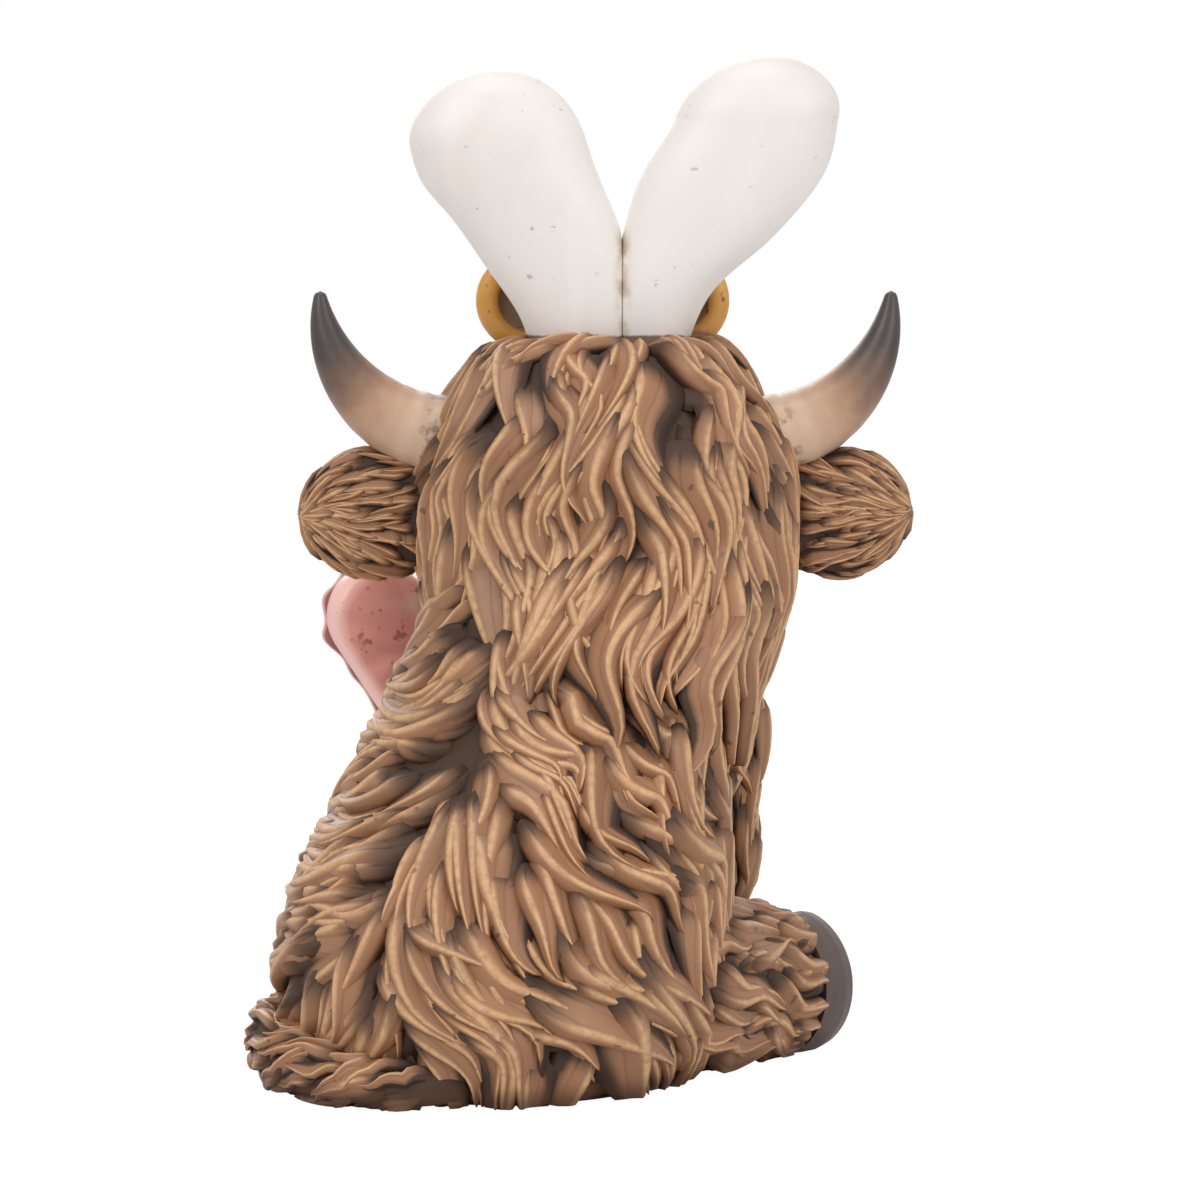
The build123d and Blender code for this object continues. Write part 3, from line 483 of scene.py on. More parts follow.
def muzzleFinish():  # warm pinkish nose leather, darker in the nostrils and the mouth line
    p = Paint("muzzle_pink", 0.38, 0.15)
    blotch = p.noise(150, 4, 0.6)
    p.colour = p.mix(srgb(214, 164, 146), srgb(190, 136, 116), blotch)
    p.over(srgb(74, 44, 36), p.value("cavity").band(0.1, 0.9) * 0.92)
    return p.give(colour=p.colour, normal=p.bump(p.noise(420, 3), 0.2, 0.0003))


coatLook = coatFinish()
whiteLook = rabbitFinish()
hornLook = hornFinish()
hoofLook = plainFinish("hoof", srgb(84, 67, 60), srgb(54, 43, 38), 0.36, 0.1)
heartLook = heartFinish()
bowLook = bowFinish()
muzzleLook = muzzleFinish()
eyeLook = plainFinish("eye_black", srgb(26, 19, 16), srgb(12, 9, 7), 0.14, 0.2)
steelLook = plainFinish("steel", srgb(150, 150, 152), srgb(120, 120, 122), 0.3)
steelLook.give(metal=1.0)
print("finishes", len(bpy.data.materials))


# Trunk

trunkTurn, headTurn = -30.0, 4.0
neck = np.array([-15.0, -25.98, 0])  # the head's axis on the table plane
sides = (("left", 1), ("right", -1))


def onTrunk(p):  # a point given square to the trunk, in the row frame
    return turnZ(p, trunkTurn)


def onHead(p):  # a point given about the head's own axis, in the row frame
    return turnZ(p, headTurn) + neck


trunk = {
    "rows": 60, "cols": 120, "crowd": 0.34, "under": -2.4,
    "height": [0, 6, 15, 26, 37, 51, 60, 68, 74],
    "halfWidth": [27.5, 30.5, 32, 31.5, 29.5, 26, 23, 19.2, 13],
    "halfDepth": [28, 30.5, 32, 30.2, 25.5, 20.5, 19.8, 19.1, 13],
    "lean": [0, 0, 0, 2.3, 7.5, 14.5, 17.4, 20.5, 30],
    "capShare": [0, 0.03, 0.955, 0.975, 1], "capHeight": [74, 73, 1.2, 0, 0],
    "capWidth": [0, 1, 1, 0.965, 0],
    "row": 5.2, "gap": 4.3, "levels": (9, 73), "thinFrom": 130, "bare": (0.8, 4.0),
    "rootSeed": 21, "partSeed": 24, "lockSeed": 31,
    "part": {"count": 150, "levels": (10, 69), "middle": 0.5, "span": (-0.16, 0.05)},
    "flowHeight": [4, 12, 22, 36, 60], "flowLeft": [22, 36, 56, 68, 60], "flowRight": [26, 36, 44, 40, 34],
    "flowRound": [0, 60, 110, 180], "flowShare": [1, 0.95, 0.6, 0.1],
}
trunkLocks = {
    "steps": 15, "length": 23, "width": 7.6, "height": 2.4, "stray": 5, "mixed": 0.09, "wave": 27,
    "waves": 2.9, "point": 1.3, "lift": [-0.7, 0.05, 0.4, 0.5], "groove": 0.4,
    "size": lambda u, v: np.interp(u, [0, 0.3, 0.7, 0.9], [0.9, 1.05, 1.0, 0.55]),
    "crestRight": lambda u, v: np.where(v < 0.5, 0.88, 0.15),
}


def uprightGrid(s):  # level ellipses up a leaning axis, the ends closed by caps; v runs round from the front
    u, v = middles(s["rows"]), middles(s["cols"])
    z = np.interp(u, s["capShare"], s["capHeight"])
    f = np.interp(u, s["capShare"], s["capWidth"])
    theta = 2 * np.pi * v + s["crowd"] * np.sin(2 * np.pi * v)
    wide = (through(z, s["height"], s["halfWidth"]) + s["under"]) * f
    deep = (through(z, s["height"], s["halfDepth"]) + s["under"]) * f
    lean = through(z, s["height"], s["lean"])
    grid = np.stack([wide[:, None] * np.sin(theta), -lean[:, None] - deep[:, None] * np.cos(theta),
                     np.broadcast_to(z[:, None], (len(u), len(v)))], -1)
    return grid, z


def fromBack(s, v):  # degrees round from the back, positive towards the calf's right
    return (2 * np.pi * v + s["crowd"] * np.sin(2 * np.pi * v)) / deg - 180


def trunkFlow(u, v):  # heading from straight down: out from the parting along the spine, then down
    phi = fromBack(trunk, v)
    z = np.interp(u, middles(trunk["rows"]), trunkZ)
    left = np.interp(z, trunk["flowHeight"], trunk["flowLeft"])
    right = np.interp(z, trunk["flowHeight"], trunk["flowRight"])
    near = ease(np.abs(phi), -8, 20)
    far = np.interp(np.abs(phi), trunk["flowRound"], trunk["flowShare"])
    return np.where(phi < 0, -left, right) * near * far * deg


trunkBase, trunkZ = uprightGrid(trunk)
trunkRoots = spread(trunkZ, trunkBase, trunk["row"], trunk["gap"], trunk["levels"], trunk["rootSeed"])
partRoots = scattered(np.random.default_rng(trunk["partSeed"]), trunk["part"], trunkZ)
front = np.abs(fromBack(trunk, trunkRoots[:, 1])) > trunk["thinFrom"]
trunkRoots = np.concatenate([trunkRoots[~front], trunkRoots[front][::2], partRoots])
trunkBare = (1 - ease(trunkZ, *trunk["bare"]))[:, None]
furred("torso", trunkBase, trunkBase, trunkRoots, trunkFlow, trunkLocks, trunk["lockSeed"],
       onTrunk, trunkBare, lowest=0.0)


# Head and mane

head = {
    "rows": 60, "cols": 110, "crowd": 0.30, "under": -1.6,
    "height": [50, 57, 73, 91, 104],
    "halfWidth": [17, 21, 27.5, 25, 18],
    "halfDepth": [16, 20.5, 26, 24, 14.5],
    "lean": [0, 0, 0, 0, 3],
    "capShare": [0, 0.10, 0.14, 0.18, 0.93, 0.97, 1],
    "capHeight": [102.6, 102.3, 101.5, 100, 53, 51, 54],
    "capWidth": [0, 0.80, 0.93, 1, 1, 0.7, 0],
    "row": 5.6, "gap": 4.3, "levels": (74, 99),
    "rootSeed": 22, "crownSeed": 23, "hemSeed": 25, "lockSeed": 32,
    "crownRows": [0.03, 0.06, 0.09, 0.12], "crownCount": [8, 16, 22, 28], "crownStray": (0.3, 0.006),
    "hem": {"count": 110, "levels": (74, 98), "middle": 0.5, "span": (-0.24, 0.24)},
    "cheek": {"count": 110, "levels": (61, 79), "middle": 0.0, "span": (-0.25, 0.25)},
}
maneGuide = dict(  # the surface that the mane's locks lie on, which clears the sloping back of the trunk
    head, capHeight=[102.6, 102.3, 101.5, 100, 46, 45, 44], capWidth=[0, 0.80, 0.93, 1, 1, 1, 1],
    height=[44, 51, 56, 60, 64, 68, 73, 91, 104],
    halfWidth=[18, 20, 22, 23.5, 25, 26.2, 27.5, 25, 18],
    halfDepth=[26, 26.7, 27.2, 27.2, 26.9, 26.5, 26, 24, 14.5],
    lean=[-12.5, -10.2, -7.7, -5.7, -3.9, -2, 0, 0, 3],
)
headLocks = {
    "steps": 18, "length": 28, "width": 7.4, "height": 2.5, "stray": 4, "mixed": 0.08, "wave": 30,
    "waves": 2.6, "point": 1.4, "lift": [-0.6, 0.05, 0.4, 0.45], "groove": 0.4,
    "size": lambda u, v: np.interp(u, [0, 0.15, 0.3, 0.6, 0.9], [0.6, 0.85, 1.05, 1.0, 0.9])
    * np.where(np.abs(np.cos(np.pi * v)) > 0.75, 0.6, 1.0),
    "crestRight": lambda u, v: np.where(ripple(u * 0.5, v * 2, 5) > 0, 0.85, 0.15),
}


def headFlow(u, v):  # down from the crown, swept a little outward at the sides and back off the face
    phi = fromBack(head, v) * deg
    sweep = np.interp(u, [0, 0.2, 0.6, 1], [0, 10, 14, 4]) * deg
    return sweep * np.sin(phi) * np.where(np.cos(phi) > 0, 1.0, -2.2)


headBase = uprightGrid(head)[0]
hangBase, hangZ = uprightGrid(maneGuide)
headRoots = spread(hangZ, hangBase, head["row"], head["gap"], head["levels"], head["rootSeed"])
crownRng = np.random.default_rng(head["crownSeed"])
strayRound, strayDown = head["crownStray"]
for place, count in zip(head["crownRows"], head["crownCount"]):
    v = (np.arange(count) + crownRng.uniform(-strayRound, strayRound, count)) / count
    u = place + crownRng.normal(0, strayDown, count)
    headRoots = np.concatenate([headRoots, np.stack([u, v % 1], -1)])
hemRng = np.random.default_rng(head["hemSeed"])
hemRoots = scattered(hemRng, head["hem"], hangZ)
cheekRoots = scattered(hemRng, head["cheek"], hangZ)
headRoots = np.concatenate([headRoots, hemRoots, cheekRoots])
furred("head", headBase, hangBase, headRoots, headFlow, headLocks, head["lockSeed"], onHead)


# Legs, ears and tail, which carry shorter fur

limbForm = {"rows": 60, "cols": 48, "under": 1.2, "from": 0.05, "to": 0.9}
limbLocks = {
    "steps": 12, "length": 17, "width": 5.4, "height": 1.8, "stray": 6, "mixed": 0.08, "wave": 22,
    "waves": 2.5, "point": 1.35, "lift": [-0.8, 0.0, 0.35, 0.4], "groove": 0.3,
    "size": lambda u, v: np.ones_like(u), "crestRight": lambda u, v: np.full_like(u, 0.6),
}
earLocks = dict(limbLocks, steps=9, length=9, width=2.3, height=0.75, wave=9, stray=7, waves=1.2)
tailLocks = dict(limbLocks, steps=14, length=17, width=3.6, height=1.3, wave=20)


def smoothPath(points, count):  # evenly spaced places on a smooth curve through the points
    points = np.asarray(points, float)
    t = np.concatenate([[0], np.cumsum(np.linalg.norm(np.diff(points, axis=0), axis=1))])
    s = np.linspace(0, t[-1], count)
    return np.stack([through(s, t, points[:, k]) for k in range(3)], -1), s / t[-1], t / t[-1], t[-1]


def furLimb(node, points, radii, thin, look, seed, ends, turn=0.0, row=4.4, gap=3.5, lowest=0.0):
    # a round limb along a path, its locks running from root to tip at one heading
    path, s, t, length = smoothPath(points, limbForm["rows"])
    radius = (through(s, t, radii) - limbForm["under"]) * roundEnds(s, *ends)
    grid = tube(path, radius, radius, np.asarray(thin, float), limbForm["cols"])
    levels = limbForm["from"] * length, limbForm["to"] * length
    roots = spread(s * length, grid, row, gap, levels, seed)
    furred(node, grid, grid, roots, lambda u, v: np.full_like(u, turn * deg), look, seed + 1,
           lowest=lowest)


hind = {
    "hip": (18, -2, 13.7), "ankle": (25.5, -34, 9.8), "thighRadii": [14.2, 13.2, 11.4], "ankleRadius": 10.3,
    "lip": 0.3, "hoof": 7.5, "hoofRadius": 10.2, "turn": 8, "seed": 41, "ends": (0.3, 0.06),
}
fore = {
    "withers": (8, -24, 61), "shoulder": (11.8, -30, 55), "elbow": (12.3, -36, 32), "shin": (8.6, -40.2, 14),
    "ankle": (7.6, -41, 7), "downRadii": [6.3, 9.2, 8.5, 6.8, 6.5], "heldRadii": [6.3, 9.2, 8.5, 6.2],
    "sag": 3.0, "hoof": 7.0, "hoofRadius": 6.4, "hoofTop": 6.2,
    "downSeed": 51, "downEnds": (0.06, 0.05), "heldSeed": 53, "heldEnds": (0.12, 0.05),
}
heart = {"place": (13.3, -45, 39.5), "turn": 22.0, "hold": (-2.5, 0, 12.0)}


def onHeart(p):  # a point given about the foot of the heart, in the row frame
    return turnZ(p, heart["turn"]) + np.array(heart["place"])


def mirrorX(p, side):  # the same point on the calf's left (1) or right (-1)
    return np.asarray(p, float) * np.array([side, 1, 1])


for sideName, side in sides:
    hip, ankle = mirrorX(hind["hip"], side), mirrorX(hind["ankle"], side)
    mids = [hip, hip + (ankle - hip) * 0.4, hip + (ankle - hip) * 0.75, ankle, ankle + (ankle - hip) * 0.02]
    radii = [*hind["thighRadii"], hind["ankleRadius"] + hind["lip"], hind["ankleRadius"]]
    furLimb(sideName + "_hind_leg", onTrunk(np.array(mids)), radii, (0, 0, 1),
            limbLocks, hind["seed"] + side, hind["ends"], hind["turn"] * side)

downLine = [fore[key] for key in ("withers", "shoulder", "elbow", "shin", "ankle")]
furLimb("right_foreleg", onTrunk(mirrorX(downLine, -1)), fore["downRadii"], (0, 1, 0),
        limbLocks, fore["downSeed"], fore["downEnds"])
holdPoint = onHeart(np.array(heart["hold"]))
holdBack = turnZ(np.array([0, 1.0, 0]), heart["turn"])
leftAnkle = holdPoint + holdBack * fore["hoof"]
leftStart = onTrunk(np.array([fore["withers"], fore["shoulder"]]))
leftBend = (leftStart[1] + leftAnkle) / 2 - np.array([0, 0, fore["sag"]])
furLimb("left_foreleg", [*leftStart, leftBend, leftAnkle], fore["heldRadii"], (0, 0, 1),
        limbLocks, fore["heldSeed"], fore["heldEnds"], lowest=None)

tail = {
    "from": 84.0, "to": -8.0, "turn": 24, "row": 5, "gap": 2.6, "seed": 57, "ends": (0.08, 0.12),
    "ring": [25.5, 29.5, 31, 31.3, 31.6, 31.8, 32],
    "rise": [3.2, 3.2, 3.2, 3.4, 4.4, 6.6, 9.2],
    "radius": [3.4, 4.0, 4.4, 5.0, 5.4, 4.8, 2.2],
}
tailAngle = np.linspace(tail["from"], tail["to"], len(tail["ring"])) * deg
tailPath = np.stack([tail["ring"] * np.cos(tailAngle), tail["ring"] * np.sin(tailAngle), tail["rise"]], -1)
furLimb("tail", tailPath, tail["radius"], (0, 0, 1), tailLocks,
        tail["seed"], tail["ends"], tail["turn"], tail["row"], tail["gap"])

ear = {
    "root": 23.5, "height": 77.8, "length": 21.0, "rise": 2.0, "foot": 7.4, "lobe": 9.1, "thick": 3.9,
    "share": 0.55, "scoop": 1.5, "scoopEnd": 0.8, "row": 2.6, "gap": 1.6, "levels": (1, 19), "sway": 0.35,
    "rows": 130, "cols": 200, "seed": 62,
}


def clubWidth(s, foot, lobe, share):  # half width along a club: a swell from the foot, then a round end
    swell = foot + (lobe - foot) * np.sin(np.pi / 2 * np.clip(s / share, 0, 1)) ** 2
    end = np.clip((s - share) / (1 - share), 0, 1)
    return swell * np.sqrt(np.maximum(1 - end ** 2, 0))


def scooped(grid, s, wide, depth, share):  # the front of a club pressed in along its middle
    middle = grid.mean(1, keepdims=True)
    across = np.linalg.norm((grid - middle)[..., [0, 2]], axis=-1) / np.maximum(wide[:, None], 0.5)
    front = ease(-(grid - middle)[..., 1] / np.maximum(wide[:, None] * 0.4, 0.3), 0.1, 0.7)
    mask = front * (1 - ease(across, 0.35, 0.85)) * ease(s, 0.16, 0.34)[:, None]
    out = grid.copy()
    out[..., 1] += depth * (mask * (1 - ease(s, share, 0.97))[:, None])
    return out


def cowEar(sideName, side, seed):  # a furry paddle under the horn, hollowed at the front
    s = np.linspace(0, 1, ear["rows"])
    way = np.array([side * math.cos(ear["rise"] * deg), 0, math.sin(ear["rise"] * deg)])
    path = np.array([side * ear["root"], 0, ear["height"]]) + s[:, None] * ear["length"] * way
    wide = clubWidth(s, ear["foot"], ear["lobe"], ear["share"])
    deep = ear["thick"] * clubWidth(s, 1, 1, ear["share"])
    grid = tube(path, wide, deep, np.array([0, 1.0, 0]), ear["cols"])
    grid = scooped(grid, s, wide, ear["scoop"], ear["scoopEnd"])
    roots = spread(s * ear["length"], grid, ear["row"], ear["gap"], ear["levels"], seed)
    furred(sideName + "_ear", grid, grid, roots,
           lambda u, v: ear["sway"] * np.sin(4 * np.pi * v), earLocks, seed + 1, onHead)


for sideName, side in sides:
    cowEar(sideName, side, ear["seed"] - side)


# Horns

horn = {
    "root": 21.0, "height": 89.5, "spread": 21.0, "rise": 21.5, "rootRadius": 6.0, "tipRadius": 0.75,
    "power": 1.8, "ringDepth": 0.012, "ringPace": 60, "rows": 90, "cols": 48,
}


def hornPiece(sideName, side):  # a tapering round along a quarter turn, with growth rings near the root
    s = np.concatenate([[0], np.linspace(0, 1, horn["rows"]), [1]])
    turn = s * np.pi / 2
    path = np.stack([side * (horn["root"] + horn["spread"] * np.sin(turn)), 0 * s,
                     horn["height"] + horn["rise"] * (1 - np.cos(turn))], -1)
    radius = horn["rootRadius"] + (horn["tipRadius"] - horn["rootRadius"]) * s ** horn["power"]
    rings = 1 + horn["ringDepth"] * np.sin(s * horn["ringPace"]) * (1 - ease(s, 0.2, 0.6))
    radius = radius * rings * roundEnds(s, 0.001, 0.02)
    radius[[0, -1]] = 0
    tangent = np.stack([side * np.cos(turn) * horn["spread"], 0 * s, np.sin(turn) * horn["rise"]], -1)
    across = unit(np.cross(np.array([0, 1.0, 0]), tangent))
    along = np.cross(across, unit(tangent))
    phi = turns(horn["cols"])
    ring = across[:, None] * np.cos(phi)[None, :, None] + along[:, None] * np.sin(phi)[None, :, None]
    grid = path[:, None] + ring * radius[:, None, None]
    form = closedGrid(onHead(grid), {"along": s[:, None]})
    hornLook.on(putPiece(sideName + "_horn", "shape", form))


for sideName, side in sides:
    hornPiece(sideName, side)


# Rabbit ears

rabbit = {
    "middle": -2.1, "crown": 104.0, "thick": [4.8, 5.2, 5.8, 6.3, 6.8, 6.9], "hollow": 2.0,
    "hollowFrom": (110, 118), "hollowTo": (12, 3), "seamTop": (117, 121), "rows": 130, "cols": 140,
    "left": {"height": [100, 106, 115, 121, 127, 131, 143.2],
             "outer": [11, 12.3, 18.1, 22.3, 27.2, 28.6, 16.3],
             "inner": [-4, -4, -3.2, -1.6, 0.9, 2.4, 16.3]},
    "right": {"height": [100, 105, 111, 119, 129, 136, 145.3],
              "outer": [-11.5, -12.6, -15.7, -24.6, -32.4, -34, -23.5],
              "inner": [-0.2, -0.2, -0.8, -2.3, -5.5, -9.8, -23.5]},
}


def rabbitEar(sideName, side):  # level ovals between an inner and an outer line, rounded over at the top
    f = rabbit[sideName]
    low, shoulder, top = f["height"][0], f["height"][-2], f["height"][-1]
    s = np.linspace(0, 1, rabbit["rows"])
    z = low + (top - low) * np.sin(np.pi / 2 * s) ** 1.15
    bulge = np.sqrt(np.maximum(1 - np.clip((z - shoulder) / (top - shoulder), 0, 1) ** 2, 0))
    middle = (through(z, f["height"], f["outer"]) + through(z, f["height"], f["inner"])) / 2
    levels = f["height"][:-1]
    between = through(z, levels, f["outer"][:-1]) - through(z, levels, f["inner"][:-1])
    wide = np.abs(between) / 2 * bulge
    deep = through(z, levels, rabbit["thick"]) * bulge
    phi = turns(rabbit["cols"], 0.5)
    grid = np.stack([middle[:, None] + wide[:, None] * np.cos(phi), deep[:, None] * np.sin(phi),
                     z[:, None] + 0 * phi], -1)
    press = ease(-np.sin(phi), 0.1, 0.7) * (1 - ease(np.abs(np.cos(phi)), 0.35, 0.9))
    fade = 1 - ease(z, *[top - gap for gap in rabbit["hollowTo"]])
    mask = press * (ease(z, *rabbit["hollowFrom"]) * fade)[:, None]
    grid[..., 1] += rabbit["hollow"] * mask
    grid[..., 0] = rabbit["middle"] + side * np.maximum(side * (grid[..., 0] - rabbit["middle"]), 0.02)
    seam = 1 - ease(side * (grid[..., 0] - rabbit["middle"]), 0.2, 1.6)
    seam = seam * (1 - ease(grid[..., 2], *rabbit["seamTop"]))
    foot = 1 - ease(grid[..., 2], rabbit["crown"] - 1.0, rabbit["crown"] + 2.2)
    values = {"inner": mask[::-1], "seam": seam[::-1], "foot": foot[::-1]}
    form = closedGrid(onHead(grid)[::-1], values)
    whiteLook.on(putPiece(sideName + "_rabbit_ear", "shape", form))


for sideName, side in sides:
    rabbitEar(sideName, side)


# Heart and bow, each an outline carried through a depth profile

heartForm = {
    "halfWidth": 13.5, "height": 30.0, "lobe": 7.9, "count": 220, "centre": (0, 17.0),
    "frill": 0.45, "frillFrom": 6.3, "frillSeed": 71, "uneven": 0.25, "unevenSeed": 73,
    "depth": [0, 0, 0.1, 0.5, 1.3, 2.2, 3.4, 4.6, 5.0, 5.15,
              5.7, 6.2, 6.45, 6.7, 7.4, 8.1, 8.5, 8.6, 8.6, 8.6],
    "inset": [1, 0.5, 0.16, 0.07, 0.02, 0, 0, 0, 0.015, 0.1,
              0.12, 0.1, 0.02, 0, 0, 0.02, 0.08, 0.2, 0.5, 1],
    "groove": [0, 0, 0, 0, 0, 0, 0, 0.1, 0.7, 1, 1, 1, 0.7, 0.1, 0, 0, 0, 0, 0, 0],
    "line": [0, 0, 0.1, 0.6, 1, 0.4, 0, 0, 0, 0, 0, 0, 0, 0.3, 0.3, 0, 0, 0, 0, 0],
    "back": [1, 1, 1, 0.8, 0.15, 0, 0, 0, 0, 0, 0, 0, 0, 0, 0, 0, 0, 0, 0, 0],
}


def evenly(outline, count):  # places at equal steps round a closed outline
    closed = np.vstack([outline, outline[:1]])
    t = np.concatenate([[0], np.cumsum(np.linalg.norm(np.diff(closed, axis=0), axis=1))])
    at = np.linspace(0, t[-1], count, endpoint=False)
    return np.stack([np.interp(at, t, closed[:, k]) for k in range(2)], -1)


def heartOutline(f):  # up the tangent from the foot, round the lobe to the dip, then the mirror of that
    lobe = np.array([f["halfWidth"] - f["lobe"], f["height"] - f["lobe"]])
    slope = math.atan2(lobe[0], lobe[1]) + math.asin(f["lobe"] / np.linalg.norm(lobe))
    dip = math.pi - math.acos(lobe[0] / f["lobe"])
    turn = np.linspace(-slope, dip, 70)
    arc = lobe + f["lobe"] * np.stack([np.cos(turn), np.sin(turn)], -1)
    side = np.linspace(0.06, 0.98, 38)[:, None] * arc[0]
    half = np.vstack([[[0, 0.8]], side, arc])
    return evenly(np.vstack([half, (half * [-1, 1])[::-1][1:-1]]), f["count"])


def carried(outline, centre, depth, inset, extra=0.0):  # an outline drawn in towards a centre at each depth
    flat = outline[None] + (np.asarray(centre) - outline)[None] * np.asarray(inset)[:, None, None] + extra
    deep = np.broadcast_to(np.asarray(depth)[:, None], flat.shape[:2])
    return np.stack([flat[..., 0], -deep, flat[..., 1]], -1)


heartEdge = heartOutline(heartForm)
heartV = np.arange(heartForm["count"]) / heartForm["count"]
frill = np.array(heartForm["depth"])[:, None] > heartForm["frillFrom"]
heartWaves = heartForm["frill"] * ripple(heartV * 0 + 0.3, heartV * 3, heartForm["frillSeed"])[None] * frill
heartOut = unit(heartEdge - np.array(heartForm["centre"]))
heartGrid = carried(heartEdge, heartForm["centre"], heartForm["depth"], heartForm["inset"],
                    heartWaves[..., None] * heartOut[None])
heartBack = np.array(heartForm["back"])[:, None]
heartBumps = ripple(heartGrid[..., 0] / 30, heartGrid[..., 2] / 30, heartForm["unevenSeed"])
heartGrid[..., 1] += heartForm["uneven"] * heartBumps * heartBack
heartValues = {key: np.array(heartForm[key])[:, None] for key in ("groove", "line", "back")}
heartMesh = closedGrid(onHeart(heartGrid)[:, ::-1], heartValues)
heartLook.on(putPiece("heart", "shape", heartMesh))

bow = {
    "span": 18.8, "loop": 7.6, "front": 6.5, "height": 109.5, "back": -6.5, "knot": 4.4,
    "centre": (10.5, 0), "foldDepth": 0.5, "foldPace": 2.2, "foldFrom": 5.5, "knotShadeReach": 9, "count": 160,
    "depth": [1.8, 1.8, 1.6, 0.9, 0.15, 0, 0.1, 0.8, 2.5, 5.0, 6.0, 6.4, 6.5, 6.9, 6.6],
    "inset": [1, 0.7, 0.46, 0.4, 0.36, 0.24, 0.08, 0, 0, 0, 0.03, 0.1, 0.2, 0.55, 1],
    # hollow: how much painted shade grey each row inside the loops takes
    "hollow": [1, 1, 1, 0.7, 0.1, 0, 0, 0, 0, 0, 0, 0, 0, 0, 0],
}


def dropOutline(span, radius, count):  # a round lobe drawn out by two tangents to a point at the origin
    centre = span - radius
    swing = math.asin(radius / centre)
    turn = np.linspace(-math.pi / 2 - swing, math.pi / 2 + swing, 90)
    arc = np.array([centre, 0]) + radius * np.stack([np.cos(turn), np.sin(turn)], -1)
    side = np.linspace(0.12, 0.97, 24)[:, None]
    return evenly(np.vstack([side * arc[0], arc, side[::-1] * arc[-1]]), count)


bowParts = []
for side in (1, -1):
    edge = dropOutline(bow["span"], bow["loop"], bow["count"])
    grid = carried(edge, bow["centre"], bow["depth"], bow["inset"])
    inFront = (np.array(bow["depth"]) > bow["foldFrom"])[:, None]
    folds = ease(grid[..., 0], 11, 3) * bow["foldDepth"] * np.sin(grid[..., 2] * bow["foldPace"])
    grid[..., 1] -= folds * inFront
    grid = grid * np.array([side, 1, 1]) + np.array([0, bow["back"], bow["height"]])
    grid = grid[:, ::-side]
    # painted shade, fading out from the bow's middle; the knot gets a little of it
    knotShade = np.clip(1 - np.abs(grid[..., 0]) / bow["knotShadeReach"], 0, 1)
    bowParts.append(closedGrid(onHead(grid), {"hollow": np.array(bow["hollow"])[:, None], "knotShade": knotShade}))
knotS = np.linspace(0, 1, 24)
knotFoot = np.array([0, bow["back"] + 0.4, bow["height"]])
knotPath = knotFoot + knotS[:, None] * np.array([0, -bow["front"] - 1.4, 0])
knotRadius = bow["knot"] * roundEnds(knotS, 0.2, 0.45)
knotGrid = tube(knotPath, knotRadius * 0.92, knotRadius * 1.1, np.array([0, 0, 1.0]), 48)
bowParts.append(closedGrid(onHead(knotGrid), {"hollow": 0.0, "knotShade": 0.25}))
bowLook.on(putPiece("bow", "shape", joined(bowParts)))


# Face

muzzle = {
    "height": 69.5, "halfWidth": 14.5, "halfHeight": 10.4, "back": -18.0, "front": -38.0, "sink": 1.2,
    "rows": 110, "cols": 150, "flat": (31, 34),
    "nostril": 6.4, "nostrilRise": 2.2, "nostrilWidth": 2.6, "nostrilHeight": 1.9, "nostrilDepth": 2.2,
    "mouth": 4.6, "mouthBend": 0.02, "mouthLine": 0.75, "mouthDepth": 1.0,
    "splitLine": 0.7, "splitDepth": 0.6,
}


def muzzlePiece():  # round muzzle with nostrils pressed in and a mouth line below them
    m = muzzle
    s = np.linspace(0, 1, m["rows"])
    y = m["back"] + (m["front"] - m["back"]) * np.sin(np.pi / 2 * s) ** 0.8
    size = np.interp(s, [0, 0.3, 1], [0.9, 1, 1]) * roundEnds(s, 0.02, 0.62) ** 0.9
    path = np.stack([0 * s, y, m["height"] - m["sink"] * s], -1)
    grid = facing(path, size, m["halfWidth"], m["halfHeight"], m["cols"])
    x, z = grid[..., 0], grid[..., 2] - m["height"]
    front = ease(-grid[..., 1], *m["flat"])
    holeX = (np.abs(x) - m["nostril"]) / m["nostrilWidth"]
    holeZ = (z - m["nostrilRise"]) / m["nostrilHeight"]
    hole = np.exp(-(holeX ** 2 + holeZ ** 2)) * front
    line = (z + m["mouth"] - m["mouthBend"] * x ** 2) / m["mouthLine"]
    mouth = np.exp(-line ** 2) * front * (1 - ease(np.abs(x), 7, 10))
    split = np.exp(-(x / m["splitLine"]) ** 2) * front * (1 - ease(z, -3.5, 0.5)) * ease(z, -6, -4)
    grid[..., 1] += m["nostrilDepth"] * hole + m["mouthDepth"] * mouth + m["splitDepth"] * split
    cavity = np.clip(hole * 1.2 + mouth + 0.7 * split, 0, 1)
    form = closedGrid(onHead(grid), {"cavity": cavity})
    muzzleLook.on(putPiece("muzzle", "shape", form))


muzzlePiece()

eye = {"place": (12.95, -21.4, 84.5), "radius": 4.0, "rows": 40, "cols": 48}


def eyeBead(sideName, side):  # a glossy bead in the brow
    angle = np.pi * np.linspace(0, 1, eye["rows"])
    path = mirrorX(eye["place"], side) + np.stack([0 * angle, eye["radius"] * np.cos(angle), 0 * angle], -1)
    grid = facing(path, eye["radius"] * np.sin(angle), 1, 1, eye["cols"])
    eyeLook.on(putPiece(sideName + "_eye", "bead", closedGrid(onHead(grid))))


for sideName, side in sides:
    eyeBead(sideName, side)


# Hooves

hoof = {
    "stations": [0, 0.001, 0.4, 0.75, 0.9, 0.97, 1.0, 1.06, 1.2, 1.45, 1.7, 1.9, 2.0, 2.001, 2.0],
    "rows": 85, "cols": 120, "dentWidth": 0.11, "dentDepth": 0.16, "cleftWidth": 0.9, "cleftDepth": 1.4,
}


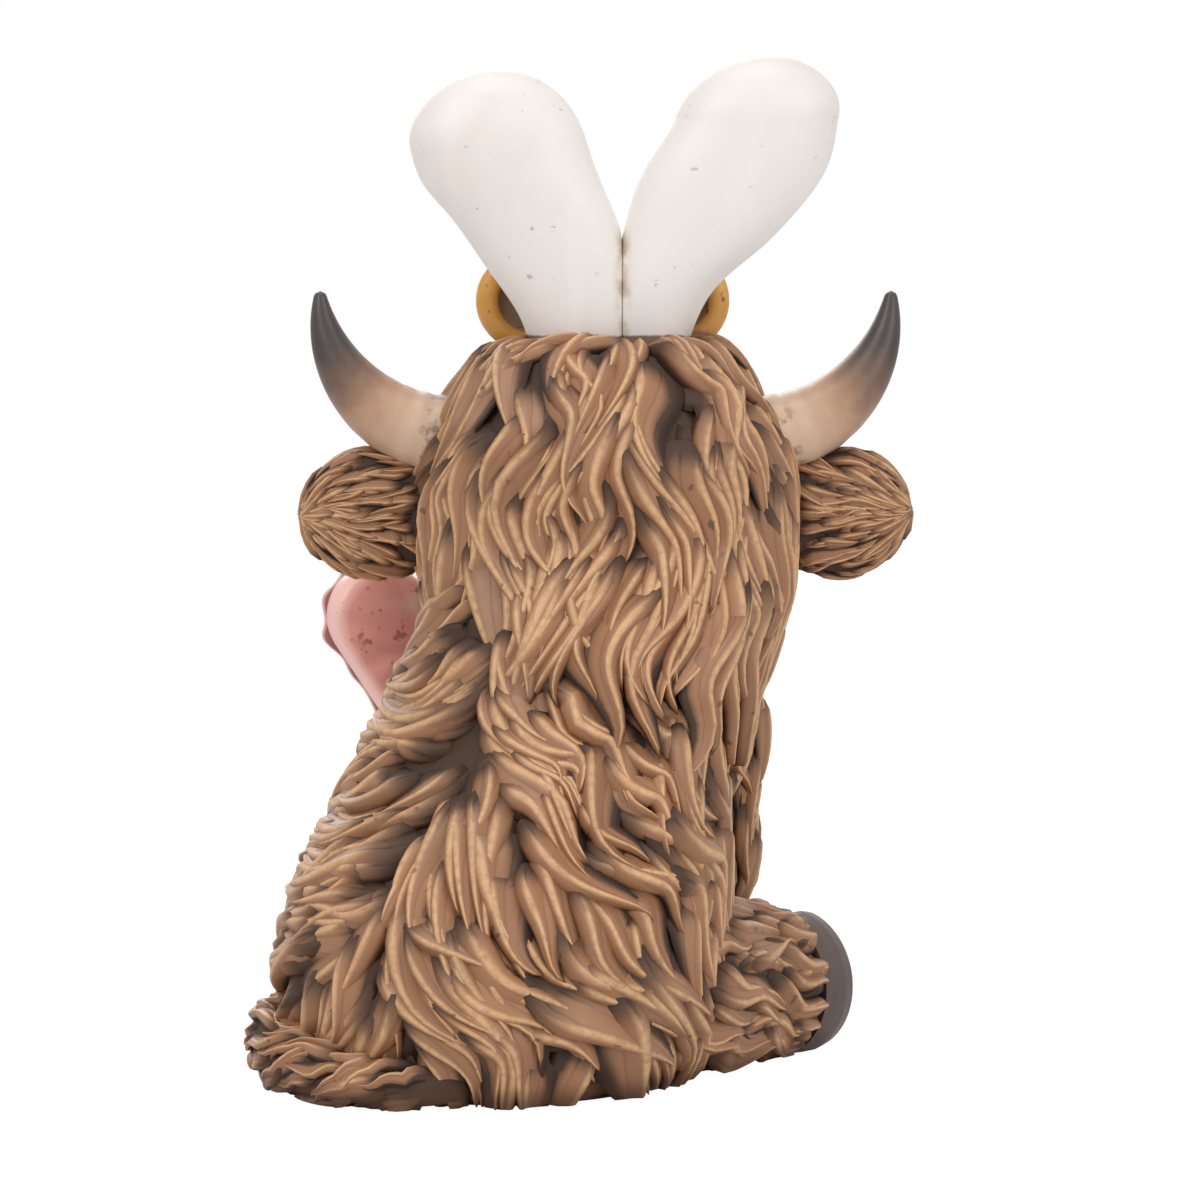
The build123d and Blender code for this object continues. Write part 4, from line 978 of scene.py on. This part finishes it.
def hoofPiece(node, sole, up, toe, topRadius, soleRadius, length, onTable):
    # a turned wall from the sole up, with a cleft pressed into the toe and across the sole
    s = np.array(hoof["stations"])
    waist = (soleRadius + topRadius) / 2 + 0.5
    radii = [0, soleRadius - 1.7, soleRadius - 0.5, soleRadius + 0.25, waist, topRadius]
    radius = np.interp(s, [0, 0.75, 1.0, 1.2, 1.5, 2.0], radii)
    lift = np.interp(s, [0, 0.75, 1.0, 1.2, 2.0], [0, 0, 0.5, 1.4, length])
    at = np.linspace(0, len(s) - 1, hoof["rows"])
    s, radius, lift = [np.interp(at, np.arange(len(s)), a) for a in (s, radius, lift)]
    radius[-1] = 0
    phi = turns(hoof["cols"])
    up, toe = unit(np.asarray(up, float)), unit(np.asarray(toe, float))
    side = np.cross(up, toe)
    dent = np.exp(-(np.sin(phi) / hoof["dentWidth"]) ** 2) * (np.cos(phi) > 0)
    dent = dent * ease(radius / soleRadius, 0.7, 0.95)[:, None]
    dent = dent * (1 - 0.5 * ease(lift / length, 0.6, 1))[:, None]
    cleft = np.exp(-(radius[:, None] * np.sin(phi) / hoof["cleftWidth"]) ** 2)
    cleft = cleft * (1 - ease(lift, 0.2, 2.0))[:, None]
    r = radius[:, None] * (1 - hoof["dentDepth"] * dent)
    h = lift[:, None] + hoof["cleftDepth"] * cleft * (1 - ease(s, 1.2, 1.4))[:, None]
    ring = np.cos(phi)[None, :, None] * toe + np.sin(phi)[None, :, None] * side
    grid = np.asarray(sole) + r[..., None] * ring + h[..., None] * up
    if onTable:
        grid[..., 2] = np.maximum(grid[..., 2], 0)
    hoofLook.on(putPiece(node, "shape", closedGrid(grid[:, ::-1])))


for sideName, side in sides:
    hip, ankle = onTrunk(mirrorX(hind["hip"], side)), onTrunk(mirrorX(hind["ankle"], side))
    ahead = unit((ankle - hip) * np.array([1, 1, 0]))
    hoofPiece(sideName + "_hind_hoof", ankle + ahead * hind["hoof"], -ahead,
              (0, 0, 1), hind["ankleRadius"] + hind["lip"], hind["hoofRadius"], hind["hoof"], True)
rightAnkle = onTrunk(mirrorX(fore["ankle"], -1))
foreSize = fore["hoofTop"], fore["hoofRadius"], fore["hoof"]
hoofPiece("right_fore_hoof", rightAnkle * np.array([1, 1, 0]), (0, 0, 1),
          onTrunk(np.array([0, -1.0, 0])), *foreSize, True)
hoofPiece("left_fore_hoof", holdPoint, holdBack, (0, 0, -1), *foreSize, False)


# Forelock: two rows of locks from the crown's front edge down over the forehead

fringe = {"starts": [0.15, 0.12], "count": 17, "half": 0.135, "stray": 0.005, "rootSeed": 81, "lockSeed": 82}
fringeLocks = dict(
    headLocks, length=24, width=6.6, height=2.4, lift=[0.0, 0.6, 0.75, 0.5],
    size=lambda u, v: 1 - 0.3 * np.minimum(1, np.abs((v + 0.5) % 1 - 0.5) / fringe["half"]) ** 2,
)
fringeRng = np.random.default_rng(fringe["rootSeed"])
across = np.linspace(-fringe["half"], fringe["half"], fringe["count"])
fringeRoots = []
for start in fringe["starts"]:
    v = (across + fringeRng.normal(0, fringe["stray"], fringe["count"])) % 1
    fringeRoots.append(np.stack([start + 0 * across, v], -1))
fringeRoots = np.concatenate(fringeRoots)
points, faces, packed = layLocks(hangBase, fringeRoots, headFlow, fringeLocks, fringe["lockSeed"])
coatLook.on(putPiece("forelock", "locks", (onHead(points), faces, packed)))

for piece in bpy.data.objects:  # the dowels inside keep their own meshes
    if piece.type == "MESH" and "dowel" in piece.name:
        steelLook.on(piece)


# Stage, light and camera

studio = {
    "eye": (-14, 600, 114.7), "aim": (-14, 0, 67.5), "lens": 127.6, "lampAim": (0, 0, 0.07),
    "lamps": {"key": ((0.55, 0.75, 0.75), 0.55, 3.9), "fill": ((-0.7, 0.6, 0.45), 0.6, 2.6),
              "front": ((0.25, -0.9, 0.6), 0.7, 3.5), "top": ((0, 0.05, 0.95), 0.5, 2.0)},
    "skyLight": 0.42, "floorGlow": 1.1, "floorShare": 0.88,
}


def softBox(name, at, aim, size, power):  # a round area lamp turned to a point, in metres and watts
    lamp = bpy.data.lights.new(name, "AREA")
    lamp.shape, lamp.size, lamp.energy = "DISK", size, power
    box = bpy.data.objects.new(name, lamp)
    box.location = at
    box.rotation_euler = (Vector(aim) - Vector(at)).to_track_quat("-Z", "Y").to_euler()
    bpy.context.scene.collection.objects.link(box)


world = bpy.data.worlds.new("studio")
bpy.context.scene.world = world
world.use_nodes = True
nodes, links = world.node_tree.nodes, world.node_tree.links
rays = nodes.new("ShaderNodeLightPath")
seen = nodes.new("ShaderNodeMath")
seen.operation = "MAXIMUM"
links.new(rays.outputs["Is Camera Ray"], seen.inputs[0])
links.new(rays.outputs["Is Glossy Ray"], seen.inputs[1])
level = nodes.new("ShaderNodeMapRange")
level.inputs["To Min"].default_value = studio["skyLight"]
level.inputs["To Max"].default_value = 1.0
links.new(seen.outputs[0], level.inputs["Value"])
nodes["Background"].inputs["Color"].default_value = (1, 1, 1, 1)
links.new(level.outputs[0], nodes["Background"].inputs["Strength"])

floorMesh = bpy.data.meshes.new("floor")
floorMesh.from_pydata([(-3, -3, 0), (3, -3, 0), (3, 3, 0), (-3, 3, 0)], [], [(0, 1, 2, 3)])
floor = bpy.data.objects.new("floor", floorMesh)
bpy.context.scene.collection.objects.link(floor)
floorPaint = Paint("floor_white", 0.8)
floorPaint.give(colour=(0.9, 0.9, 0.9, 1))
seenFloor = floorPaint.add("ShaderNodeLightPath", {}, {}, "Is Camera Ray")
glow = floorPaint.add("ShaderNodeEmission", {}, {"Color": (1, 1, 1, 1), "Strength": studio["floorGlow"]})
plain = Wire(floorPaint, floorPaint.shader.outputs[0])
mixed = floorPaint.add("ShaderNodeMixShader", {}, {0: seenFloor * studio["floorShare"], 1: plain, 2: glow})
floorPaint.tree.links.new(mixed.socket, floorPaint.tree.nodes["Material Output"].inputs["Surface"])
floorPaint.on(floor)

for name, (at, size, power) in studio["lamps"].items():
    softBox(name, at, studio["lampAim"], size, power)

lens = bpy.data.cameras.new("photo")
lens.lens, lens.sensor_width, lens.clip_start = studio["lens"], 36, 0.01
camera = bpy.data.objects.new("photo", lens)
camera.location = Vector(studio["eye"]) * mm
camera.rotation_euler = (Vector(studio["aim"]) - Vector(studio["eye"])).to_track_quat("-Z", "Y").to_euler()
bpy.context.scene.collection.objects.link(camera)
bpy.context.scene.camera = camera
bpy.context.scene.view_settings.view_transform = "Standard"
